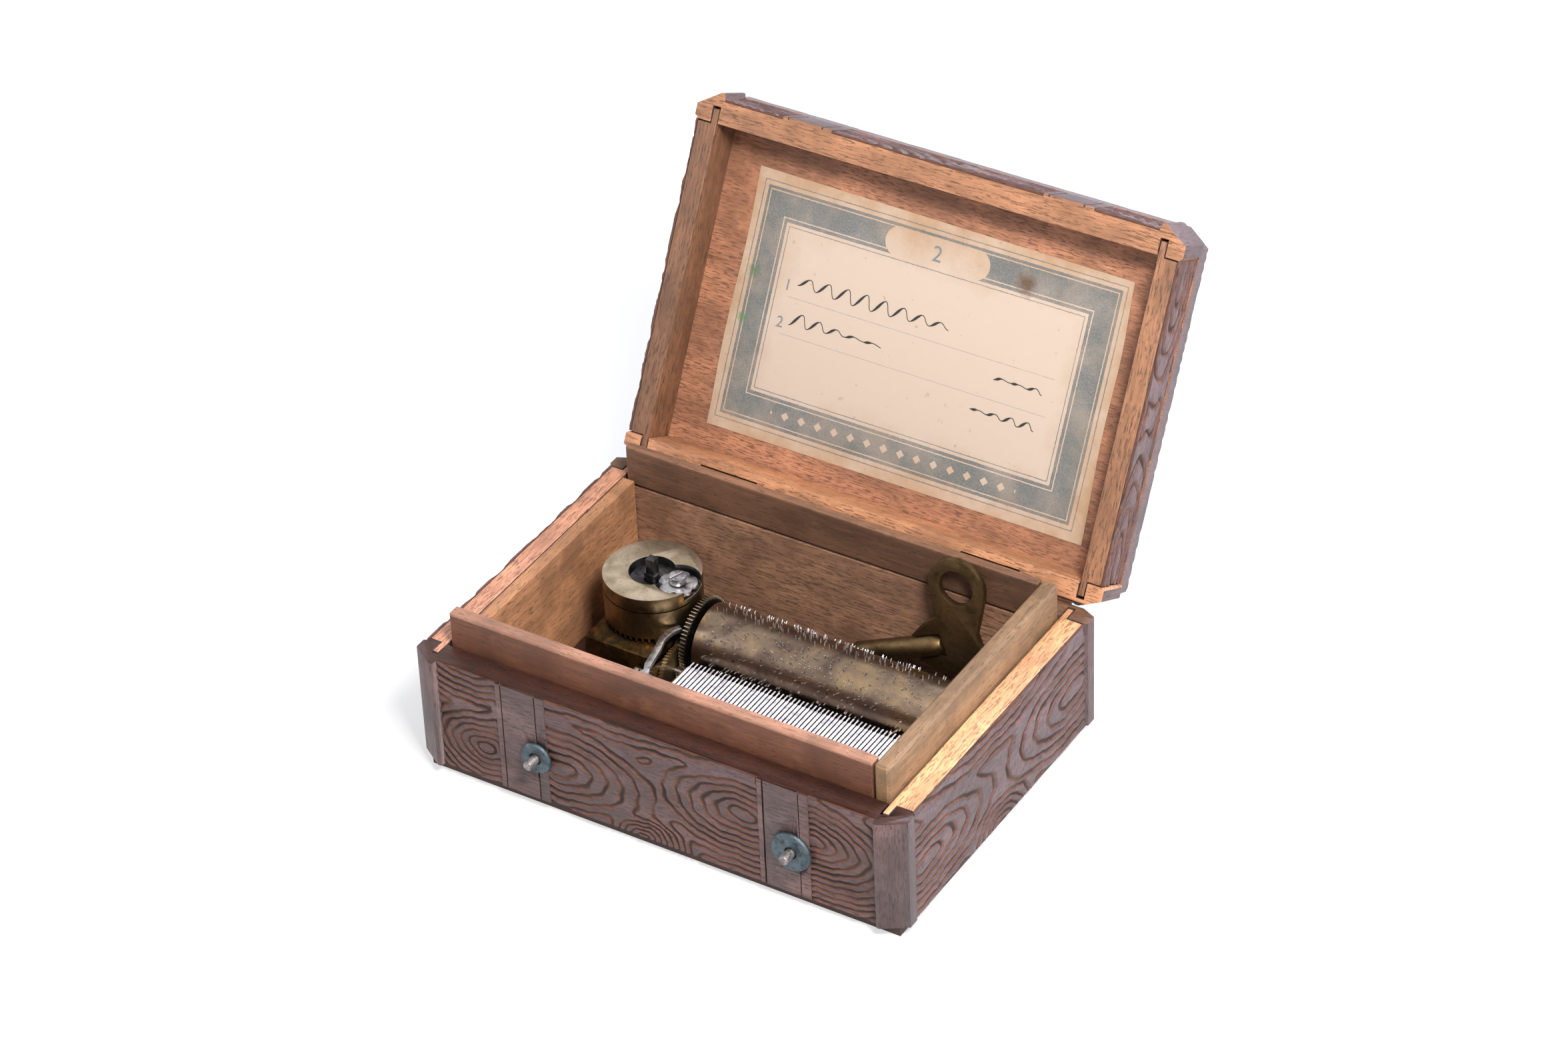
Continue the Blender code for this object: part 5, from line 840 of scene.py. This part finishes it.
class MUSICBOX_OT_label(Operator):
    """Paste the printed paper label inside the lid"""
    bl_idname = "musicbox.label"
    bl_label = "Paste Label"

    def execute(self, context):
        sizes = context.scene.musical_box.label
        start()
        bpy.ops.mesh.primitive_grid_add(x_subdivisions=48, y_subdivisions=32, size=1.0)
        paper = bpy.context.object
        near_left, near_right = Vector((13.8, 72.2)), Vector((108.6, 72.2))
        far_left, far_right = Vector((13.8, 13.3)), Vector((107.2, 14.2))
        wave = np.random.RandomState(5).uniform(0.0, 6.28, 4)
        margin = 0.06
        for vert in paper.data.vertices:
            s, t = vert.co.x + 0.5, vert.co.y + 0.5
            place = near_left.lerp(near_right, s).lerp(far_left.lerp(far_right, s), t)
            edge = min(s, 1.0 - s, t, 1.0 - t)
            place.x += 0.25 * math.sin(9.0 * t + wave[0]) * (edge < 0.001)
            lift = max(0.0, margin - edge) / margin
            curl = sizes.curl / MM * lift * (0.5 + 0.5 * math.sin(14.0 * (s + t) + wave[1]))
            vert.co = on_lid(*place, PAPER_FACE - curl)
        edit()
        bpy.ops.mesh.normals_make_consistent(inside=False)
        leave_edit()
        if paper.data.polygons[0].normal.z > 0:
            paper.data.flip_normals()
        modify(paper, "SOLIDIFY", thickness=0.05 * MM, offset=-1.0)
        settle(paper, "label", self.print_material(sizes), "lid", ("lid_label",),
               lid=True, angle=40.0)
        self.flourishes()
        self.numerals()
        return {"FINISHED"}

    def flourishes(self):
        """Looped pen strokes on the ruled lines and below them."""
        ink, _, shader = new_material("dark_ink", 0.45)
        shader.inputs["Base Color"].default_value = (0.018, 0.014, 0.012, 1.0)
        strokes = ((29.0, 38.0, 35.6, 8, 1.6), (29.0, 23.0, 44.0, 5, 1.5),
                   (80.0, 12.0, 43.0, 3, 0.8), (76.0, 16.0, 51.0, 4, 0.8))
        for index, (left, length, middle, loops, height) in enumerate(strokes):
            drawing = configure(bpy.data.curves.new("flourish", "CURVE"), dimensions="3D",
                                bevel_depth=0.30 * MM, bevel_resolution=1, use_fill_caps=True)
            count = 30 * loops
            spline = drawing.splines.new("POLY")
            spline.points.add(count)
            for step, point in enumerate(spline.points):
                share = step / count
                angle = 2 * math.pi * loops * share
                swell = 0.55 + 0.45 * math.sin(3.7 * share + 1.6 * index)
                up = height * swell * math.cos(angle)
                point.co = (*on_lid(left + length * share - 0.25 * up, middle + up, 0.0), 1.0)
                point.radius = 0.28 + 0.72 * max(0.0, math.sin(angle)) ** 2
            stroke = as_mesh(new_object("flourish", drawing))
            stroke.scale = (1.0, 1.0, 0.1)
            stroke.location = (0.0, 0.0, (INK_FACE - 0.02) * MM)
            settle(stroke, f"label_flourish_{index + 1}", ink, "lid", lid=True,
                   angle=60.0)

    def numerals(self):
        """Plain numerals at the start of the two ruled lines and in the cartouche."""
        ink, tree, shader = new_material("pen_ink", 0.5)
        fade = noise(object_place(tree, True), 1.2, 3.0)
        blend(fade, (0.10, 0.12, 0.13), (0.24, 0.27, 0.27)).into(shader, "Base Color")
        for name, text, x, y, size in (("first", "1", 25.5, 38.2, 3.6),
                                       ("second", "2", 25.5, 46.6, 3.6),
                                       ("tunes", "2", 59.0, 22.5, 5.0)):
            start()
            bpy.ops.object.text_add()
            mark = bpy.context.object
            configure(mark.data, body=text, size=size * MM, extrude=0.01 * MM)
            mark = as_mesh(mark)
            mark.rotation_euler = (math.pi, 0.0, 0.0)
            mark.location = on_lid(x, y, INK_FACE)
            settle(mark, "label_numeral_" + name, ink, "lid", lid=True)

    def print_material(self, sizes):
        """Cream paper printed with a band, fine rules, a bare cartouche and ruled lines."""
        material, tree, shader = new_material("label_paper_print", 0.85)
        place = object_place(tree, True)
        wavy = (noise(place, 1.5, 2.0) - 0.5) * 0.25
        x, y = (value + wavy for value in parts(place)[:2])

        def box(low_x, low_y, high_x, high_y):
            """Distance outside a box whose corners are counted as for on_lid."""
            return most(abs(x - ((low_x + high_x) / 2 - CENTRE_X)) - (high_x - low_x) / 2,
                        abs(y - ((low_y + high_y) / 2 - CENTRE_Y)) - (high_y - low_y) / 2)

        def line(field, where, half):
            return abs(field - where) < half

        outer = box(16.6, 16.7, 104.9, 68.9)
        inner = box(22.9, 23.7, 98.3, 62.0)
        pill_height = sizes.pill_height / MM
        pill_x = most(abs(x - 0.2) - (sizes.pill_length / MM - pill_height), 0.0)
        in_pill = distance_to(pill_x, y - (20.6 - CENTRE_Y)) < pill_height
        band = (outer < 0.0) * (1.0 - (inner < 0.0))
        ink_mask = most(band, line(outer, 1.0, 0.11), line(inner, -0.8, 0.10))
        bare = most(line(outer, -0.8, 0.13), line(inner, 0.9, 0.13))
        diamond = (2.1 - calc("PINGPONG", x, 2.1)) + abs(y - (65.45 - CENTRE_Y))
        row = (diamond < 1.0) * (abs(x) < 31.0)
        for hidden in (bare, in_pill, row):
            ink_mask = ink_mask * (1.0 - hidden)
        ruled = most(box(27.0, 39.45, 94.0, 39.57) < 0.0, box(27.0, 47.85, 94.0, 47.97) < 0.0)
        worn = ramp(noise(place, 3.0, 4.0, 0.7), (0.25, 0.55), (0.6, 0.98))
        cloud = ramp(noise(place, 0.12, 4.0, 0.65), (0.35, 0.72), (0.6, 1.0))
        stain = noise(place, 0.055, 4.0, 0.6)
        spots = noise(place, 0.45, 3.0, 0.6)
        fibre = noise(place, 4.0, 2.0, 0.6)
        mottle = noise(place, 0.16, 5.0, 0.65) * 0.6 + stain * 0.6
        soiled = mottle * (outer * 0.030 + 0.66)
        paper = blend(ramp(soiled, (0.22, 0.0), (0.50, 0.9)), sizes.paper, (0.40, 0.25, 0.14))
        paper = blend(ramp(spots, (0.66, 0.0), (0.80, 0.7)), paper, (0.20, 0.11, 0.05))
        paper = blend(fibre * 0.18, paper, (0.35, 0.25, 0.16))
        body = blend(ink_mask * (worn * cloud), paper, sizes.ink)
        body = blend(ruled * 0.5, body, (0.12, 0.13, 0.14))
        for spot_x, spot_y, reach, shade in ((82.5, 21.5, 2.6, (0.10, 0.045, 0.02)),
                                             (17.4, 36.0, 1.6, (0.04, 0.14, 0.05)),
                                             (17.0, 47.0, 1.3, (0.10, 0.20, 0.09))):
            away = distance_to(x - (spot_x - CENTRE_X), y - (spot_y - CENTRE_Y))
            ragged = (away + spots * (reach * 1.6)) * (1.0 / (reach * 2.4))
            body = blend(ramp(ragged, (0.42, 0.8), (0.85, 0.0)), body, shade)
        body.into(shader, "Base Color")
        bump(shader, fibre, 0.2, 0.05 * MM)
        return material


class MUSICBOX_OT_cylinder(Operator):
    """Turn the cylinder and set its pins"""
    bl_idname = "musicbox.cylinder"
    bl_label = "Pin Cylinder"

    def execute(self, context):
        settings = context.scene.musical_box
        low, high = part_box("pinned_cylinder")
        axis = Vector((low.x, (low.y + high.y) / 2, (low.z + high.z) / 2))
        length = high.x - low.x
        start()
        bpy.ops.mesh.primitive_cylinder_add(vertices=128, radius=CYLINDER_RADIUS, depth=length,
                                            end_fill_type="NGON")
        shell = bpy.context.object
        edit("DESELECT")
        bpy.ops.mesh.select_mode(type="FACE")
        leave_edit()
        for face in shell.data.polygons:
            face.select = abs(face.normal.z) > 0.9
        bpy.ops.object.mode_set(mode="EDIT")
        wall, recess = 0.8 * MM, 0.35 * MM
        bpy.ops.mesh.inset(thickness=wall, depth=0.0)
        bpy.ops.mesh.extrude_region_move(TRANSFORM_OT_translate={"value": (0.0, 0.0, 0.0)})
        leave_edit()
        for face in shell.data.polygons:
            if face.select:
                for index in face.vertices:
                    vert = shell.data.vertices[index]
                    vert.co.z -= math.copysign(recess, vert.co.z)
        round_edges(shell, 0.15 * MM, 40.0, 2)
        shell.rotation_euler = (0.0, math.pi / 2, 0.0)
        shell.location = axis + Vector((length / 2, 0.0, 0.0))
        # The brightest mottling of the cylinder takes the golden patch colour: partly mottled
        # bronze, partly painted highlight.
        bronze = metal("cylinder_bronze_aged", settings.metal.bronze, 0.24, (0.130, 0.090, 0.072),
                       spots=0.5, scale=0.11, bright=settings.metal.gold)
        settle(shell, "cylinder_tube", bronze, "cylinder",
               ("pinned_cylinder",), angle=30.0)
        self.pins(settings.cylinder, axis, length)
        return {"FINISHED"}

    def pins(self, sizes, axis, length):
        """Fine steel pins in rows, clustered as the notes of two tunes."""
        start()
        bpy.ops.mesh.primitive_cylinder_add(vertices=6, radius=sizes.pin_radius,
                                            depth=sizes.pin_height * 1.4, end_fill_type="NGON")
        pin = bpy.context.object
        for vert in pin.data.vertices:
            if vert.co.z > 0:
                vert.co.x *= 0.8
                vert.co.y *= 0.8
        base = np.array([vert.co for vert in pin.data.vertices])
        faces = [tuple(face.vertices) for face in pin.data.polygons]
        bpy.data.objects.remove(pin)
        chance = np.random.RandomState(17)
        tracks = int((length - 2.0 * MM) / TOOTH_PITCH)
        beats = sizes.beats
        busy = 0.35 + 1.3 * chance.rand(beats) ** 1.5
        reach = Vector((0.0, 0.0, CYLINDER_RADIUS + sizes.pin_height * 0.3))
        verts = []
        polygons = []
        for track in range(tracks):
            lean = 0.6 + 0.8 * math.sin(math.pi * track / tracks)
            for tune in range(2):
                for beat in range(beats):
                    if chance.rand() > sizes.share * busy[beat] * lean:
                        continue
                    angle = 2 * math.pi * (beat + 0.12 * chance.randn() + 0.5 * tune) / beats
                    along = (1.5 * MM + (track + 0.5 * tune) * TOOTH_PITCH
                             + 0.04 * MM * chance.randn())
                    tilt = 0.06 * chance.randn(2)
                    turn = (Euler((angle, 0.0, 0.0)).to_matrix()
                            @ Euler((*tilt, 0.0)).to_matrix())
                    middle = axis + Vector((along, 0.0, 0.0)) + turn @ reach
                    first = len(verts)
                    points = base @ np.array(turn).T + np.array(middle)
                    verts += [tuple(point) for point in points]
                    polygons += [tuple(first + index for index in face) for face in faces]
        mesh = bpy.data.meshes.new("cylinder_pins")
        mesh.from_pydata(verts, [], polygons)
        steel = metal("pin_steel", (0.36, 0.35, 0.36), 0.45, (0.12, 0.11, 0.11), spots=0.2,
                      scale=0.6)
        settle(new_object("cylinder_pins", mesh), "cylinder_pins", steel, "cylinder")


class MUSICBOX_OT_movement(Operator):
    """Finish the barrel, the train, the comb and the levers"""
    bl_idname = "musicbox.movement"
    bl_label = "Finish Movement"

    def execute(self, context):
        tones = context.scene.musical_box.metal
        brass = metal("brass_aged", tones.brass, 0.36, (0.16, 0.11, 0.05), spots=0.35, scale=0.16)
        dark = metal("brass_dark", tones.dark_brass, 0.42, (0.035, 0.022, 0.012), spots=0.5,
                     scale=0.22)
        steel = metal("steel_grey", tones.steel, 0.30, (0.16, 0.14, 0.13), spots=0.3, scale=0.5)
        oiled = metal("steel_oiled", tones.dark_steel, 0.28, (0.02, 0.018, 0.016), spots=0.4,
                      scale=0.5)
        comb = metal("comb_steel_worn", tones.comb, 0.42, (0.50, 0.49, 0.54), spots=0.3,
                     scale=0.6, stretch="Y", shine=0.5)
        # Very dark brass: the great wheel's own blackened finish, and painted shade on the comb
        # base and on the comb's faces that don't look up.
        blackened_and_shade = metal("brass_blackened_and_shade", (0.045, 0.038, 0.030), 0.35, (0.012, 0.010, 0.008),
                      spots=0.3, scale=0.5)
        pale = metal("brass_pale", tones.pale_brass, 0.34, (0.30, 0.24, 0.15), spots=0.4,
                     scale=0.2)
        looks = (
            (brass, "train_plate_left train_plate_right cylinder_bracket_right governor_cock "
                    "second_wheel third_wheel hinge_leaf_case_left hinge_leaf_case_right "
                    "hinge_leaf_lid_left hinge_leaf_lid_right"),
            # The bedplate's dark brass paints the shade seen through the gaps between the comb's
            # teeth.
            (dark, "bedplate"),
            (blackened_and_shade, "great_wheel comb_base"),
            (steel, "bedplate_screw_1 bedplate_screw_2 comb_screw_1 comb_screw_2 comb_screw_3 "
                    "comb_screw_4 comb_screw_5 cylinder_arbor second_arbor third_arbor "
                    "endless_screw click click_spring change_lever"),
            (oiled, "mainspring"),
            (comb, "comb"),
        )
        for material, nodes in looks:
            for node in nodes.split():
                dress(node, material)
        # Painted shade between the comb's teeth: every face that doesn't look up takes the very
        # dark brass, and the faces that look up keep the comb steel
        paint_faces(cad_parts["comb"], [blackened_and_shade], lambda face: int(face.normal.z <= 0.5))
        # Pale brass on the tips of the wheel's teeth: painted glints.
        self.brighten_teeth(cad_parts["great_wheel"], pale)
        refined("start_lever", steel, "start_control", 0.25 * MM)
        refined("stop_wheel", steel, "stop_wheel", 0.10 * MM)
        refined("stop_wheel_screw", steel, "barrel", 0.18 * MM)
        refined("winding_arbor", oiled, "winding_arbor", 0.12 * MM)
        stained = metal("brass_stained", scaled(tones.dark_brass, 0.5), 0.4,
                        (0.02, 0.013, 0.008), spots=0.6, scale=0.2, bright=(0.23, 0.115, 0.03))
        refined("barrel_bridge", stained, "case", 0.25 * MM)
        cap = refined("barrel_cap", pale, "barrel", 0.22 * MM)
        drum = metal("brass_drum", scaled(tones.brass, 0.62), 0.3, (0.07, 0.045, 0.024), spots=0.4,
                     scale=0.18, stretch="Z")
        self.darken_cap(cap, oiled, drum)
        refined("barrel_drum", drum, "barrel", 0.0)
        refined("cylinder_cap", brass, "cylinder", 0.15 * MM)
        return {"FINISHED"}

    def brighten_teeth(self, wheel, material):
        """Painted glints: pale brass on the tips of the blackened teeth of the great wheel."""
        low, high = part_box("great_wheel")
        middle = (low + high) / 2
        tips = (high.z - low.z) / 2 * 0.965
        paint_faces(wheel, [material], lambda face: int((face.center - middle).yz.length > tips))

    def darken_cap(self, cap, oiled, drum):
        """Oiled recess for the stop work, and a side in the drum's colour."""
        low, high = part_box("barrel_cap")
        middle = (low + high) / 2
        rim = (high.x - low.x) / 2 * 0.93

        def choose(face):
            if (face.center - middle).xy.length >= rim:
                return 2 if abs(face.normal.z) < 0.5 else 0
            return int(high.z - face.center.z > 0.35 * MM)

        paint_faces(cap, [oiled, drum], choose)


class MUSICBOX_OT_controls(Operator):
    """Finish the start and change knobs with their washers"""
    bl_idname = "musicbox.controls"
    bl_label = "Finish Controls"

    def execute(self, context):
        tones = context.scene.musical_box.metal
        patina = metal("knob_patina_dull", tones.patina, 0.5, (0.05, 0.07, 0.07), spots=0.5,
                       scale=0.5)
        pin = metal("knob_pin", (0.30, 0.28, 0.28), 0.48, (0.10, 0.085, 0.08), spots=0.6,
                    scale=0.6)
        refined("start_washer", patina, "case", 0.2 * MM)
        refined("change_washer", patina, "case", 0.2 * MM)
        refined("start_rod", pin, "start_control", 0.3 * MM)
        refined("change_rod", pin, "change_control", 0.3 * MM)
        return {"FINISHED"}


class MUSICBOX_OT_key(Operator):
    """Finish the winding key"""
    bl_idname = "musicbox.key"
    bl_label = "Finish Key"

    def execute(self, context):
        tones = context.scene.musical_box.metal
        olive = metal("key_brass", tones.dark_brass, 0.42, (0.07, 0.045, 0.018), spots=0.4,
                      scale=0.3)
        refined("key_bow", olive, "case", 0.3 * MM)
        refined("key_shank", olive, "case", 0.4 * MM, segments=3)
        return {"FINISHED"}


class MUSICBOX_OT_stage(Operator):
    """Set the camera, the lights and the floor"""
    bl_idname = "musicbox.stage"
    bl_label = "Set Stage"

    def execute(self, context):
        settings = context.scene.musical_box.stage
        self.floor()
        self.camera(context, settings)
        self.lights(context, settings)
        return {"FINISHED"}

    def floor(self):
        start()
        bpy.ops.mesh.primitive_plane_add(size=1.0)
        plane = bpy.context.object
        edit()
        bpy.ops.mesh.subdivide(number_cuts=3)
        leave_edit()
        plane.name = "floor"
        plane.scale = (12.0, 12.0, 1.0)
        plane.location = (0.0, 0.0, -0.2 * MM)
        bpy.ops.object.transform_apply(location=True, rotation=True, scale=True)
        material, tree, shader = new_material("floor_white", 0.9)
        shader.inputs["Base Color"].default_value = (0.9, 0.9, 0.9, 1.0)
        glow = result(tree, "ShaderNodeEmission", {"Strength": 1.0})
        diffuse = Value(tree, shader.outputs[0])
        mix = result(tree, "ShaderNodeMixShader", {0: self.seen(tree) * 0.62, 1: diffuse, 2: glow})
        output = next(node for node in tree.nodes if node.type == "OUTPUT_MATERIAL")
        mix.into(output, "Surface")
        plane.data.materials.append(material)

    def seen(self, tree):
        """One for rays that show a surface or the world, not for those that light others."""
        path = add(tree, "ShaderNodeLightPath")
        return most(*(Value(tree, path.outputs[f"Is {kind} Ray"])
                      for kind in ("Camera", "Glossy", "Transmission")))

    def camera(self, context, settings):
        """Camera that stands where the photograph was taken."""
        data = configure(bpy.data.cameras.new("camera"), sensor_width=36.0,
                         sensor_fit="HORIZONTAL", lens=settings.lens, clip_start=0.01,
                         clip_end=50.0)
        camera = new_object("camera", data)
        right = Vector((0.85251259, 0.52151964, -0.03520724))
        down = Vector((0.286316, -0.52226113, -0.80328479))
        ahead = Vector((-0.43731617, 0.67473, -0.59455361))
        turn = Matrix((right, -down, -ahead)).transposed()
        place = Vector((0.478096, -0.724635, 0.700703))
        camera.matrix_world = Matrix.Translation(place) @ turn.to_4x4()
        context.scene.camera = camera

    def lights(self, context, settings):
        """White world and four soft lamps."""
        world = bpy.data.worlds.new("studio")
        context.scene.world = world
        world.use_nodes = True
        tree = world.node_tree
        background = tree.nodes["Background"]
        background.inputs["Color"].default_value = (1.0, 1.0, 1.0, 1.0)
        (self.seen(tree) * 0.7 + 0.3).into(background, "Strength")
        context.scene.view_settings.view_transform = "Standard"
        fill = settings.fill_power
        lamps = [("key", (0.42, -0.30, 0.72), 0.20, settings.key_power, (1.0, 0.96, 0.92)),
                 ("fill", (-0.95, -0.25, 0.35), 0.5, fill * 1.8, (0.80, 0.85, 1.0)),
                 ("rim", (0.20, 0.70, 0.62), 0.45, fill * 6.0, (0.74, 0.80, 1.0)),
                 ("side", (0.85, 0.10, 0.20), 0.45, fill * 1.5, (0.74, 0.80, 1.0))]
        for name, place, size, power, shade in lamps:
            data = configure(bpy.data.lights.new(name + "_light", "AREA"), shape="SQUARE",
                             size=size, energy=power, color=shade)
            lamp = new_object(name + "_light", data)
            lamp.location = place
            aim = Vector((0.0, 0.02, 0.03)) - Vector(place)
            lamp.rotation_euler = aim.to_track_quat("-Z", "Y").to_euler()


OPERATORS = (MUSICBOX_OT_walls, MUSICBOX_OT_wood, MUSICBOX_OT_carve_case, MUSICBOX_OT_carve_lid,
             MUSICBOX_OT_label, MUSICBOX_OT_cylinder, MUSICBOX_OT_movement,
             MUSICBOX_OT_controls, MUSICBOX_OT_key, MUSICBOX_OT_stage)


class MUSICBOX_PT_panel(Panel):
    """Steps that finish the musical box"""
    bl_idname = "MUSICBOX_PT_panel"
    bl_label = "Musical Box"
    bl_space_type = "VIEW_3D"
    bl_region_type = "UI"
    bl_category = "Musical Box"

    def draw(self, context):
        for operator in OPERATORS:
            self.layout.operator(operator.bl_idname)
        settings = context.scene.musical_box
        for part in MusicalBoxSettings.__annotations__:
            column = self.layout.column(heading=part.title())
            values = getattr(settings, part)
            for name in type(values).__annotations__:
                column.prop(values, name)


CLASSES = (CarvingSizes, WoodColours, MetalColours, LabelSizes, CylinderSizes, StageSettings,
           MusicalBoxSettings, *OPERATORS, MUSICBOX_PT_panel)


def register():
    for item in CLASSES:
        bpy.utils.register_class(item)
    bpy.types.Scene.musical_box = PointerProperty(type=MusicalBoxSettings)


def unregister():
    del bpy.types.Scene.musical_box
    for item in reversed(CLASSES):
        bpy.utils.unregister_class(item)


def main():
    register()
    bpy.ops.musicbox.walls()
    bpy.ops.musicbox.wood()
    bpy.ops.musicbox.carve_case()
    bpy.ops.musicbox.carve_lid()
    bpy.ops.musicbox.label()
    bpy.ops.musicbox.cylinder()
    bpy.ops.musicbox.movement()
    bpy.ops.musicbox.controls()
    bpy.ops.musicbox.key()
    bpy.ops.musicbox.stage()
    bpy.context.view_layer.update()


if __name__ == "__main__":
    main()
